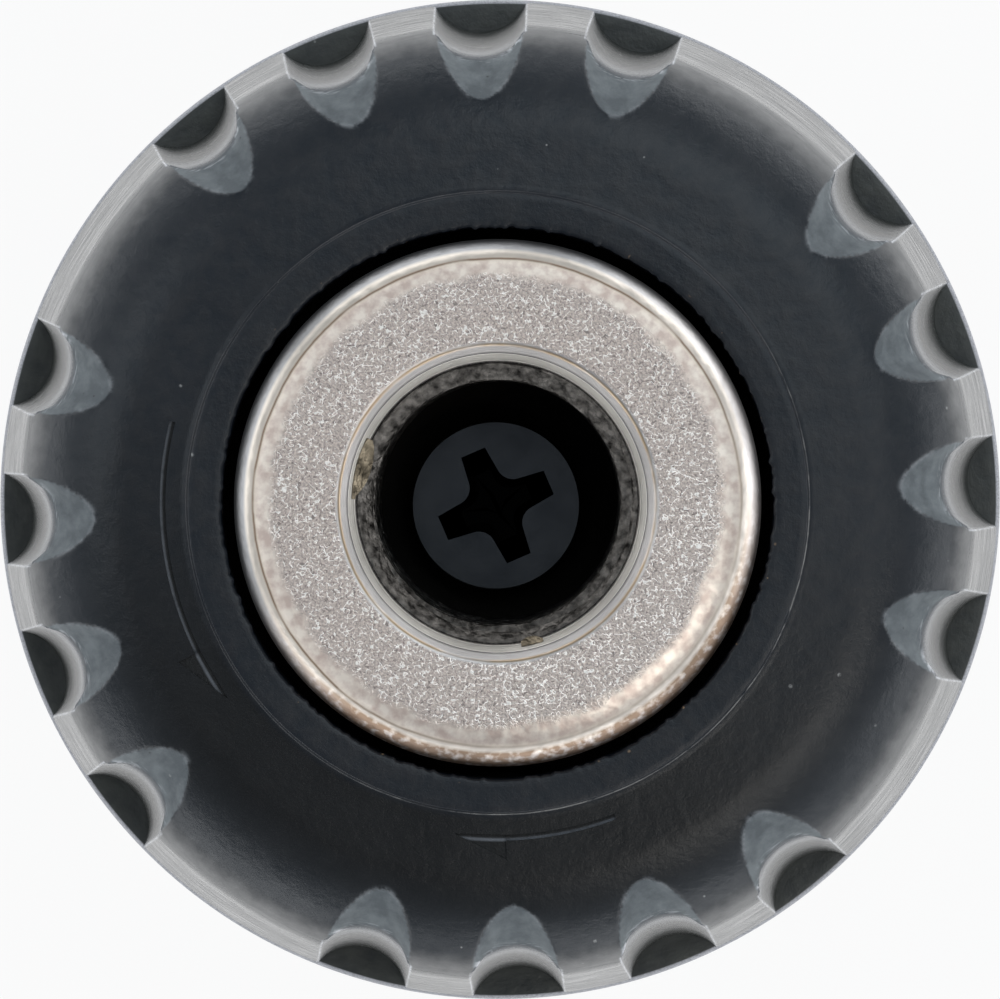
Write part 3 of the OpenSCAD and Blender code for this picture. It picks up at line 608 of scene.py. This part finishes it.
BACK_BLACK = moulded_black("moulded_black", True)
FRONT_BLACK = moulded_black("front_moulded_black", False)
NICKEL = plated_body()
OXIDE = black_oxide()
THREAD_STEEL = steel("thread_steel", (0.19, 0.175, 0.16), 0.42,
                     fine=4200.0, mottled=0.92, bump=0.00009, broad=3000.0)
BURR_STEEL = steel("burr_steel", (0.36, 0.30, 0.215), 0.40,
                   fine=3600.0, mottled=0.85, bump=0.00012, broad=2200.0)
CAP_STEEL = steel("cap_steel", (0.62, 0.61, 0.60), 0.24, turned_rings=0.00001)
JAW_STEEL = steel("jaw_steel", (0.36, 0.355, 0.35), 0.34, mottled=0.2)
NUT_STEEL = steel("nut_steel", (0.34, 0.33, 0.32), 0.38, mottled=0.25)
BAND_STEEL = steel("band_steel", (0.55, 0.55, 0.55), 0.3, turned_rings=0.00001)
RACE_STEEL = steel("race_steel", (0.56, 0.56, 0.57), 0.2)
BALL_STEEL = steel("ball_steel", (0.75, 0.75, 0.76), 0.06, mottled=0.03, bump=0.0000005)
CAGE_BRASS = steel("cage_brass", (0.60, 0.44, 0.20), 0.32, mottled=0.15)


# ---- sleeves: finely spun shells, their flutes pressed in by moving the shell's points ----
def crowd_to_flutes(co):
    """Turns the columns of a spun shell closer together at the corners of the flutes."""
    grid = np.linspace(0, 360, 7201)
    off = np.min(np.abs((grid[:, None] - FLUTE_ANGLES + 180) % 360 - 180), axis=1)
    weight = 0.55 + 0.9 * (off < 6.4) + 5.0 * np.exp(-((off - 5.5) / 0.55) ** 2)
    total = np.concatenate([[0], np.cumsum((weight[1:] + weight[:-1]) / 2)])
    turn = np.degrees(np.arctan2(co[:, 1], co[:, 0])) % 360
    new = np.radians(np.interp(turn, total / total[-1] * 360, grid))
    r = np.hypot(co[:, 0], co[:, 1])
    co[:, 0], co[:, 1] = r * np.cos(new), r * np.sin(new)


def by_flute(co):
    """Radius, depth and angle, and the angle measured from the nearest flute."""
    turn = np.degrees(np.arctan2(co[:, 1], co[:, 0]))
    each = (turn[:, None] - FLUTE_ANGLES + 180) % 360 - 180
    signed = each[np.arange(len(turn)), np.argmin(np.abs(each), axis=1)]
    return np.hypot(co[:, 0], co[:, 1]), -co[:, 2], turn, signed


def soft_push(t, soft):
    """t where it is well above 0 and 0 where it is well below, rounded over soft."""
    return (t + np.sqrt(t ** 2 + soft ** 2)) / 2


def arrow_cutters(name, start, end, tip):
    """The shaft and the one-sided head of a curved direction arrow, as closed cutters."""
    deep = STEP_DEPTH + 0.056 + ARROW_DEEP
    barb = end + 0.06 * (end - start) / abs(end - start)
    shaft, head = bmesh.new(), bmesh.new()
    a = math.radians(start)
    ends = [shaft.verts.new(((ARROW_R + k) * MM * math.cos(a), (ARROW_R + k) * MM * math.sin(a), -deep * MM))
            for k in (-ARROW_HALF, ARROW_HALF)]
    bmesh.ops.spin(shaft, geom=ends + [shaft.edges.new(ends)], cent=(0, 0, 0), axis=(0, 0, 1),
                   angle=math.radians(end - start), steps=48)
    corners = [((ARROW_R + k) * MM, math.radians(b))
               for k, b in ((-ARROW_HALF, end), (ARROW_HEAD, barb), (-0.06, tip))]
    head.faces.new([head.verts.new((q * math.cos(b), q * math.sin(b), -deep * MM)) for q, b in corners])
    out = []
    for part, bm in (("shaft", shaft), ("head", head)):
        up = bmesh.ops.extrude_face_region(bm, geom=bm.faces[:])["geom"]
        bmesh.ops.translate(bm, verts=verts_of(up), vec=(0, 0, ARROW_CUT * MM))
        bmesh.ops.recalc_face_normals(bm, faces=bm.faces)
        out.append(as_piece(f"{name}_{part}", bm))
    return out


def rear_profile():
    """The rear sleeve's section: the hole, ring, cone, dome and flank, then the hollow inside."""
    outer = [(HOLE_R, 3.0), (HOLE_R, 2.0), (HOLE_R, RING_DEPTH + 0.08), (HOLE_R + 0.05, RING_DEPTH + 0.02),
             (HOLE_R + 0.12, RING_DEPTH)]
    outer += [(r, RING_DEPTH) for r in spread(HOLE_R + 0.3, RING_R - 0.06, 4)]
    outer += [(RING_R - 0.05, RING_DEPTH), (RING_R - 0.015, RING_DEPTH + 0.012), (RING_R, RING_DEPTH + 0.04),
              (RING_R + 0.05, STEP_DEPTH - 0.03), (RING_R + 0.09, STEP_DEPTH)]
    outer += [(r, STEP_DEPTH + CONE_RISE * (r - RING_R) / (DOME_R0 - RING_R))
              for r in spread(RING_R + 0.3, DOME_R0, 5)]
    outer += [(r, float(dome_depth(r))) for r in spread(DOME_R0, 13.5, 5)]
    outer += [(r, float(dome_depth(r))) for r in spread(13.5, DOME_EDGE_R - 0.06, 42)]
    outer += [(DOME_EDGE_R - 0.03, DOME_EDGE_DEPTH - 0.03), (DOME_EDGE_R, DOME_EDGE_DEPTH + 0.01),
              (DOME_EDGE_R + 0.015, DOME_EDGE_DEPTH + 0.06)]
    outer += [(DOME_EDGE_R + FLANK_LEAN * (d - DOME_EDGE_DEPTH), d)
              for d in spread(DOME_EDGE_DEPTH + 0.15, 5.0, 10) + spread(5.0, SLEEVE_END - 0.15, 8)]
    outer += [(SLEEVE_END_R - 0.02, SLEEVE_END - 0.14), (SLEEVE_END_R - 0.05, SLEEVE_END - 0.04),
              (SLEEVE_END_R - 0.15, SLEEVE_END), (16.6, SLEEVE_END)]
    return outer + [(FLANGE_R + 0.01, SLEEVE_END), (FLANGE_R + 0.01, 13.6), (15.25, 13.6), (15.25, 7.5),
                    (14.4, 4.4), (12.6, 3.0)]


def flute_depths(r, d, x, y, land):
    """How far each point lies outside the flute's hollow and outside its ramp, and the way it is pushed."""
    # the straight way from the untouched surface to the flute
    apex_d = float(dome_depth(FLUTE_APEX_R))
    f = np.clip((r - FLUTE_APEX_R) / (DOME_EDGE_R - FLUTE_APEX_R), 0.02, 1)
    base_d = dome_depth(FLUTE_APEX_R + f * (DOME_EDGE_R - FLUTE_APEX_R))
    ga = f * (DOME_EDGE_R - FLUTE_FOLD_R)
    gb = apex_d + f * (FOLD_DEPTH - apex_d) - base_d
    size = np.hypot(ga, gb)
    ga, gb = np.where(land, 1.0, ga / size), np.where(land, 0.0, gb / size)
    across = np.clip(np.abs(y), 0, FLUTE_CUT_R * 0.995)
    dip = FLUTE_CUT_R - np.sqrt(FLUTE_CUT_R ** 2 - across ** 2)
    slope = (FLUTE_END_R - FLUTE_FOLD_R) / (FLUTE_END - FOLD_DEPTH)
    t_floor = (x - FLUTE_FOLD_R - (d - FOLD_DEPTH) * slope - dip) / (ga + gb * slope)
    ramp_r = np.clip(1.28 + (x - FLUTE_APEX_R) * 0.56, 1.2, 2.6)
    across = np.clip(np.abs(y), 0, ramp_r * 0.995)
    rise = (ramp_r - np.sqrt(ramp_r ** 2 - across ** 2)) / math.cos(RAMP)
    m = math.tan(RAMP)
    t_ramp = (apex_d + m * (x - FLUTE_APEX_R) - rise - d) / (gb + m * ga)
    t_ramp = np.where(land & (d > FOLD_DEPTH + 1.6), -1.0, t_ramp)
    return t_floor, t_ramp, ga, gb


def rounded_shoulder(r, d, land):
    """Where each point would lie on the rounded shoulder between the dome and the flank."""
    s = np.where(land, (d - DOME_EDGE_DEPTH), -np.hypot(r - DOME_EDGE_R, d - DOME_EDGE_DEPTH))
    u = np.clip((s + SHOULDER) / (2 * SHOULDER), 0, 1)
    near = np.linspace(13.0, DOME_EDGE_R, 400)
    reach = np.hypot(near - DOME_EDGE_R, dome_depth(near) - DOME_EDGE_DEPTH)
    start_r = float(near[np.argmin(np.abs(reach - SHOULDER))])
    a, b, c = (1 - u) ** 2, 2 * u * (1 - u), u ** 2
    round_r = a * start_r + b * DOME_EDGE_R + c * (DOME_EDGE_R + FLANK_LEAN * SHOULDER)
    round_d = a * float(dome_depth(start_r)) + b * DOME_EDGE_DEPTH + c * (DOME_EDGE_DEPTH + SHOULDER)
    return round_r, round_d, np.abs(s) < SHOULDER


def torn_edge(co, r, d, turn):
    """Pulls the edge of the hole inwards by an uneven rim of torn moulding."""
    rng = np.random.default_rng(11)
    torn = np.zeros(len(r))
    for waves in (7, 13, 29, 47, 71, 113, 167):
        torn += rng.uniform(0.012, 0.030) * np.sin(np.radians(turn) * waves + rng.uniform(0, 6.28))
    torn = np.clip(torn, -0.02, 0.09)
    k = np.where((r < HOLE_R + 0.13) & (d < 1.2), (r - torn) / r, 1.0)
    co[:, 0] *= k
    co[:, 1] *= k


def rear_sleeve():
    """The sleeve whose back faces the machine: its flutes pressed in, its arrows cut, its hole torn."""
    piece = as_piece("rear_sleeve_shell", turned(rear_profile(), 896))
    co = places(piece)
    crowd_to_flutes(co)
    put_places(piece, co)
    arrows = arrow_cutters("tighten", 166.0, 206.5, 216.0) + arrow_cutters("loosen", 290.5, 271.5, 262.5)
    cut_with(piece, arrows, 30)
    co = places(piece)
    r, d, turn, signed = by_flute(co)
    x, y = r * np.cos(np.radians(signed)), r * np.sin(np.radians(signed))
    dome = (r > 13.4) & (d <= dome_depth(r) + 0.03) & (r <= DOME_EDGE_R + 0.001)
    land = (r > DOME_EDGE_R - 0.001) & (d > DOME_EDGE_DEPTH - 0.04)
    back = dome | land
    t_floor, t_ramp, ga, gb = flute_depths(r, d, x, y, land)
    blend = FOLD_BLEND * np.clip(np.maximum(t_floor, t_ramp) / 0.6, 0, 1)
    both = (t_floor + t_ramp + np.sqrt((t_floor - t_ramp) ** 2 + blend ** 2)) / 2
    both = np.where(np.abs(y) > FLUTE_HALF, -1.0, both)
    push = np.where((both > -0.35) & back, soft_push(both, LIP_SOFT), 0.0)
    round_r, round_d, near_edge = rounded_shoulder(r, d, land)
    here = back & near_edge
    keep = np.where(here, np.clip(1 - push / 0.25, 0, 1), 0.0)
    x = x + (round_r - r) * keep * np.cos(np.radians(signed))
    y = y + (round_r - r) * keep * np.sin(np.radians(signed))
    d_now = d + (round_d - d) * keep
    nx, nd = x - ga * push, d_now + gb * push
    nr, na = np.hypot(nx, y), np.radians(turn - signed) + np.arctan2(y, nx)
    moved = (push > 0) | here
    co[:, 0] = np.where(moved, nr * np.cos(na), co[:, 0])
    co[:, 1] = np.where(moved, nr * np.sin(na), co[:, 1])
    co[:, 2] = np.where(moved, -nd, co[:, 2])
    torn_edge(co, r, d_now, turn)
    put_places(piece, co)
    in_flute = np.clip(both / 0.06, 0, 1) * back
    put_mask(piece, "ramp", np.clip((t_ramp - t_floor + 0.1) / 0.2, 0, 1) * np.clip(both / 0.03, 0, 1) * back)
    put_mask(piece, "corner", np.exp(-(both / 0.06) ** 2) * land)
    put_mask(piece, "lip", np.exp(-(both / 0.045) ** 2) * dome)
    put_mask(piece, "low_side", np.exp(-((-signed - 4.4) / 1.3) ** 2))
    put_mask(piece, "fold", np.exp(-((t_ramp - t_floor) / 0.16) ** 2) * in_flute)
    put_mask(piece, "hollow", in_flute)
    piece.data.set_sharp_from_angle(angle=math.radians(60))
    fit(piece, BACK_BLACK, "body", "rear_plastic", "rear_sleeve")


def front_sleeve():
    """The gripping sleeve: a rounded rim, then a tapered barrel with flutes that run out on its cone."""
    edge = [(FRONT_R - 0.2 + 0.2 * math.sin(a), FRONT_TOP + 0.2 - 0.2 * math.cos(a))
            for a in [math.radians(15 * i) for i in range(7)]]
    outer = [(FRONT_HOLLOW_R, FRONT_TOP), (17.5, FRONT_TOP)] + edge
    outer += [(FRONT_R, d) for d in spread(FRONT_TOP + 0.5, RIM_END - 0.1, 3)]
    outer += [(FRONT_R, RIM_END - 0.08), (FRONT_R - 0.03, RIM_END), (FRONT_R - 0.17, RIM_END + 0.17),
              (FRONT_R - 0.21, RIM_END + 0.26)]
    outer += [(FRONT_R - 0.2 - (d - RIM_END - 0.2) / (GRIP_END - RIM_END) * 0.9, d)
              for d in spread(20.9, 26.0, 18) + spread(26.0, 39.2, 12)]
    outer += [(16.91, GRIP_END), (16.87, 39.5), (GRIP_END_R, GRIP_STEP)]
    outer += [(GRIP_END_R - (d - GRIP_STEP) / 1.7 * 0.6, d) for d in spread(39.9, CONE_TOP, 4)]
    outer += [(CONE_TOP_R, CONE_TOP), (16.10, 41.65)]
    outer += [(CONE_TOP_R - (d - CONE_TOP) / 6.2 * 3.0, d) for d in spread(41.9, CONE_END, 16)]
    outer += [(13.28, 47.45), (13.15, 47.66), (12.95, 47.85), (12.6, 48.12), (12.45, FRONT_END)]
    inner = [(NOSE_R + 0.2, FRONT_END), (NOSE_R + 0.2, BUSH_TOP), (BUSH_HOLLOW_R, BUSH_TOP),
             (BUSH_HOLLOW_R, NUT_END + 1.8), (NOSE_R + 0.6, NUT_END + 1.8), (NOSE_R + 0.6, NUT_END),
             (BAND_R + 0.01, NUT_END), (BAND_R + 0.01, NUT_TOP - 0.1), (FRONT_HOLLOW_R, NUT_TOP - 0.1)]
    bm = turned(outer + inner, 720)
    for side in (-1, 1):  # the lugs that turn the nut
        lug = bmesh.ops.create_cube(bm, size=MM)["verts"]
        bmesh.ops.scale(bm, verts=lug, vec=LUG_SIZE)
        bmesh.ops.translate(bm, verts=lug, vec=(0, side * LUG_OUT * MM, -LUG_DEPTH * MM))
    piece = as_piece("front_sleeve_shell", bm)
    co = places(piece)
    lug_points = ((np.hypot(co[:, 0], co[:, 1]) < 13.3) & (np.abs(co[:, 0]) <= 1.6)
                  & (co[:, 2] > -37.8) & (co[:, 2] < -35.7))
    kept = co[lug_points].copy()
    crowd_to_flutes(co)
    co[lug_points] = kept
    r, d, turn, signed = by_flute(co)
    x, y = r * np.cos(np.radians(signed)), r * np.sin(np.radians(signed))
    tilt = (BARREL_FLOOR_R - 15.2) / 22.0
    room = np.clip(BARREL_CUT_R ** 2 - y ** 2 - np.clip(BARREL_CUT_TOP - d, 0, None) ** 2, 0, None)
    floor = BARREL_FLOOR_R + BARREL_CUT_R - np.clip(d - BARREL_CUT_TOP, 0, None) * tilt - np.sqrt(room)
    deep = np.where((d > 21.0) & (r > 12.9) & (room > 0), x - floor, -1.0)
    push = np.where((deep > -0.3) & (r > 14.4), soft_push(deep, 0.05), 0.0)
    nx = x - push
    nr, na = np.hypot(nx, y), np.radians(turn - signed) + np.arctan2(y, nx)
    co[:, 0] = np.where(push > 0, nr * np.cos(na), co[:, 0])
    co[:, 1] = np.where(push > 0, nr * np.sin(na), co[:, 1])
    put_places(piece, co)
    piece.data.set_sharp_from_angle(angle=math.radians(50))
    fit(piece, FRONT_BLACK, "front", "front_plastic", "front_sleeve")


# ---- steel body with its jaw holes ----
def jaw_hole(k):
    """A cutter for one of the three inclined holes, whose axes meet in front of the nose."""
    bm = bmesh.new()
    bmesh.ops.create_cone(bm, cap_ends=True, segments=64, radius1=JAW_HOLE_R * MM,
                          radius2=JAW_HOLE_R * MM, depth=JAW_HOLE_LONG * MM)
    way = (Matrix.Rotation(math.radians(JAW_PHASE + 120 * k), 4, "Z")
           @ Matrix.Translation((0, 0, -JAW_APEX * MM))
           @ Matrix.Rotation(JAW_ANGLE, 4, "Y") @ Matrix.Translation((0, 0, (JAW_HOLE_LONG / 2 + 1) * MM)))
    bmesh.ops.transform(bm, matrix=way, verts=bm.verts)
    return as_piece(f"jaw_hole_{k}", bm)


def steel_body():
    """The body in one turned section, from the thread's mouth round the outside and back up the bore."""
    edge = [(TAIL_FLAT_R + (TAIL_R - TAIL_FLAT_R) * math.sin(a), TAIL_ROUND - TAIL_ROUND * math.cos(a))
            for a in [math.radians(3.75 * i) for i in range(25)]]
    mouth = [(4.79, THREAD_END), (4.79, 0.66), (4.84, 0.56), (4.86, 0.50), (5.08, 0.27), (5.10, 0.225),
             (5.32, 0.085), (5.36, 0.045), (5.43, 0.006), (5.47, 0.0), (5.9, 0.0), (6.5, 0.0)]
    profile = mouth + edge + [
        (TAIL_R, 6.0), (TAIL_R, FLANGE_TOP - 0.3), (TAIL_R + 0.3, FLANGE_TOP), (FLANGE_R - 0.4, FLANGE_TOP),
        (FLANGE_R, FLANGE_TOP + 0.4), (FLANGE_R, FLANGE_FRONT - 0.15), (FLANGE_R - 0.15, FLANGE_FRONT),
        (NECK_R, FLANGE_FRONT), (NECK_R, NUT_TOP - 0.3), (GROOVE_R, NUT_TOP - 0.3), (GROOVE_R, NUT_END + 0.3),
        (NOSE_R, NUT_END + 0.3), (NOSE_R, CAP_TOP), (CAP_SEAT_R, CAP_TOP), (CAP_SEAT_R, CAP_END),
        (CAP_SEAT_R - 0.55, BODY_LEN - 0.1), (CAP_SEAT_R - 0.65, BODY_LEN), (NOSE_MOUTH_R + 0.6, BODY_LEN),
        (NOSE_MOUTH_R, BODY_LEN - 0.6), (NOSE_MOUTH_R, NOSE_MOUTH_TOP), (TOOL_R, NOSE_MOUTH_TOP - 0.3),
        (TOOL_R, WEB_FRONT), (SCREW_HOLE_R, WEB_FRONT), (SCREW_HOLE_R, WEB_TOP), (RELIEF_R, WEB_TOP),
        (RELIEF_R, THREAD_END)]
    piece = as_piece("steel_body", turned(profile, 256))
    cut_with(piece, [jaw_hole(k) for k in range(3)])
    fit(piece, NICKEL, "body", "body_steel", "chuck_body")


def spindle_thread():
    """The turns of the spindle thread, a right-hand helix pressed into a finely spun sleeve."""
    wall = spread(0.0, THREAD_END, 252)
    profile = ([(4.78, 0.64)] + [(THREAD_BLANK_R, d) for d in wall if d > 0.66]
               + [(THREAD_BACK_R, THREAD_END), (THREAD_BACK_R, 0.68)])
    piece = as_piece("spindle_thread_turns", turned(profile, 144))
    co = places(piece)
    r, d = np.hypot(co[:, 0], co[:, 1]), -co[:, 2]
    turn = np.arctan2(co[:, 1], co[:, 0])
    phase = (-d / THREAD_PITCH - turn / (2 * math.pi)) % 1.0
    off = np.abs(phase - 0.5) * THREAD_PITCH
    depth = np.clip((off - THREAD_PITCH / 16) * math.tan(math.radians(60)), 0, THREAD_ROOT_R - THREAD_CREST_R)
    new = np.maximum(THREAD_CREST_R + depth, MOUTH_R - d)
    new = np.where(d > THREAD_END - 0.6, np.maximum(new, THREAD_CREST_R + (d - THREAD_END + 0.6)), new)
    k = np.where(np.abs(r - THREAD_BLANK_R) < 0.01, np.minimum(new, 4.81) / r, 1.0)
    co[:, 0] *= k
    co[:, 1] *= k
    put_places(piece, co)
    piece.data.set_sharp_from_angle(angle=math.radians(40))
    fit(piece, THREAD_STEEL, "body", "body_steel")


def burr(name, angle, width, reach):
    """A flake of metal left at the start of the thread: a pointed leaf bent down into the hole."""
    bm = bmesh.new()
    a = math.radians(angle)
    ends = [bm.verts.new((q * MM * math.cos(a - width / 2), q * MM * math.sin(a - width / 2), -z * MM))
            for q, z in ((4.96, 0.36), (4.84, 0.47), (4.84, 0.53), (4.98, 0.43))]
    edges = [bm.edges.new((ends[i], ends[(i + 1) % 4])) for i in range(4)]
    bmesh.ops.spin(bm, geom=ends + edges, cent=(0, 0, 0), axis=(0, 0, 1), angle=width, steps=24)
    bmesh.ops.holes_fill(bm, edges=[e for e in bm.edges if e.is_boundary], sides=8)
    for v in bm.verts:
        q = v.co.xy.length / MM
        if q < 4.9:
            t = (math.atan2(v.co.y, v.co.x) - a + math.pi) % (2 * math.pi) - math.pi
            pull = reach * max(0.0, 1 - abs(t / width * 2 + 0.1) ** 2.6)
            v.co.xy *= (q - pull) / q
            v.co.z -= pull * 0.78 * MM
    bmesh.ops.recalc_face_normals(bm, faces=bm.faces)
    fit(as_piece(name, bm), BURR_STEEL, "body", "body_steel")


def screw():
    """Pan-head screw with a cross recess: flared arms, rounded roots and sloping walls."""
    head = [(0.0, SCREW_TOP), (1.4, SCREW_TOP), (2.96, SCREW_TOP), (3.0, 14.912), (3.025, 14.94),
            (SCREW_HEAD_R, 14.98), (SCREW_HEAD_R, WEB_TOP), (SHANK_R, WEB_TOP), (SHANK_R, SHANK_END),
            (TIP_R, SCREW_END), (0.0, SCREW_END)]
    piece = as_piece("screw_black", turned(head, 128, closed=False))
    bm = bmesh.new()
    bmesh.ops.create_grid(bm, x_segments=3, y_segments=3, size=1.0)
    bmesh.ops.delete(bm, geom=[f for f in bm.faces if min(abs(f.calc_center_median().x),
                                                         abs(f.calc_center_median().y)) > 0.5], context="FACES")
    for v in bm.verts:
        x, y = v.co.x, v.co.y
        if max(abs(x), abs(y)) > 0.5:
            long_x = abs(x) > abs(y)
            v.co.x = math.copysign(CROSS_REACH if long_x else CROSS_HALF, x)
            v.co.y = math.copysign(CROSS_HALF if long_x else CROSS_REACH, y)
        else:
            v.co.x, v.co.y = math.copysign(CROSS_ROOT, x), math.copysign(CROSS_ROOT, y)
    down = bmesh.ops.extrude_face_region(bm, geom=bm.faces[:])["geom"]
    low = verts_of(down)
    bmesh.ops.scale(bm, verts=low, vec=(CROSS_NARROWS, CROSS_NARROWS, 1))
    bmesh.ops.translate(bm, verts=low, vec=(0, 0, -CROSS_DEEP))
    roots = [e for e in bm.edges if abs(e.verts[0].co.z - e.verts[1].co.z) > 1
             and max(e.verts[0].co.xy.length, e.verts[1].co.xy.length) < 1.2]
    bmesh.ops.bevel(bm, geom=roots, offset=CROSS_ROUND, segments=8, profile=0.5, affect="EDGES", material=-1)
    seat = Matrix.Translation((0, 0, -0.0148)) @ Matrix.Rotation(CROSS_TURN, 4, "Z")
    bmesh.ops.transform(bm, verts=bm.verts, matrix=seat @ Matrix.Scale(MM, 4))
    bmesh.ops.recalc_face_normals(bm, faces=bm.faces)
    cut_with(piece, [as_piece("cross", bm)], 8)
    put_places(piece, places(piece) + np.array(SCREW_OFF))
    fit(piece, OXIDE, "body", "black_screw", "retaining_screw")


rear_sleeve()
front_sleeve()
steel_body()
spindle_thread()
burr("burr_left", 166.0, math.radians(25), 0.38)
burr("burr_low", 284.0, math.radians(9), 0.16)
screw()

# ---- the pieces that the CAD model already shapes ----
INNER_FINISH = {"nose_cap": CAP_STEEL, "rear_race": RACE_STEEL, "front_race": RACE_STEEL,
                "nut_half_a": NUT_STEEL, "nut_half_b": NUT_STEEL, "nut_band": BAND_STEEL,
                "ball_cage": CAGE_BRASS, "jaw_1": JAW_STEEL, "jaw_2": JAW_STEEL, "jaw_3": JAW_STEEL}
INNER_FINISH.update({name: BALL_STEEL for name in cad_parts
                     if name.startswith("ball_") and name != "ball_cage"})
for name, finish in INNER_FINISH.items():
    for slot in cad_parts[name].material_slots:
        slot.material = finish


# ---- floor, lamps and world ----
def white_to_camera(f, base_out):
    """White where the camera or a mirror sees it, with a tenth of the plain base left for the shadows."""
    glow = f.node("Emission")
    glow.inputs["Color"].default_value = (1, 1, 1, 1)
    path = f.node("LightPath")
    mix = f.node("MixShader")
    seen = f.maths("MULTIPLY", f.maths("ADD", path.outputs["Is Camera Ray"], path.outputs["Is Glossy Ray"],
                                       clamp=True), 0.9)
    f.l.new(seen, mix.inputs["Fac"])
    f.l.new(base_out, mix.inputs[1])
    f.l.new(glow.outputs[0], mix.inputs[2])
    return mix.outputs[0]


def floor():
    """A pale floor under the nose, clear from below so that it hides nothing there."""
    bm = bmesh.new()
    bmesh.ops.create_grid(bm, x_segments=1, y_segments=1, size=1.5)
    piece = as_piece("pale_floor", bm)
    piece.location = (0, 0, -0.0562)
    f = Finish("floor_white", Roughness=0.7)
    f.set("Base Color", (0.9, 0.9, 0.9, 1))
    out = f.n["Material Output"]
    shown = white_to_camera(f, f.shader.outputs[0])
    clear = f.node("BsdfTransparent")
    below = f.node("MixShader")
    f.l.new(f.node("NewGeometry").outputs["Backfacing"], below.inputs["Fac"])
    f.l.new(shown, below.inputs[1])
    f.l.new(clear.outputs[0], below.inputs[2])
    f.l.new(below.outputs[0], out.inputs["Surface"])
    piece.data.materials.append(f.mat)


def lamp(name, turn, height, distance, size, watts, tint=(0.96, 0.98, 1.0)):
    """A soft box at a compass angle and a height angle, facing the chuck."""
    light = bpy.data.lights.new(name, "AREA")
    light.shape, light.size, light.size_y, light.energy = "RECTANGLE", size[0], size[1], watts
    light.color = tint
    o = bpy.data.objects.new(name, light)
    t, h = math.radians(turn), math.radians(height)
    o.location = Vector((math.cos(t) * math.cos(h), math.sin(t) * math.cos(h), math.sin(h))) * distance
    o.rotation_euler = (Vector((0, 0, -0.02)) - o.location).to_track_quat("-Z", "Y").to_euler()
    bpy.context.scene.collection.objects.link(o)


floor()
for k, watts in enumerate((3.6, 3.4, 3.2, 3.2, 3.2, 3.6)):
    lamp(f"ring_lamp_{k}", 50 + 60 * k, 10 if k < 3 else 14, 1.1, (1.0, 0.42), watts)
lamp("high_lamp", 55, 66, 1.1, (0.60, 0.60), 1.7, (0.84, 0.94, 1.0))
lamp("side_lamp", 315, 63, 1.1, (0.32, 0.32), 1.1, (1.0, 0.97, 0.92))
lamp("left_lamp", 165, 55, 1.1, (0.40, 0.40), 0.9, (0.88, 0.95, 1.0))
world = bpy.data.worlds.new("studio")
world.use_nodes = True
world.node_tree.nodes["Background"].inputs["Color"].default_value = (0.90, 0.99, 1.09, 1)
world.node_tree.nodes["Background"].inputs["Strength"].default_value = 0.22
bpy.context.scene.world = world
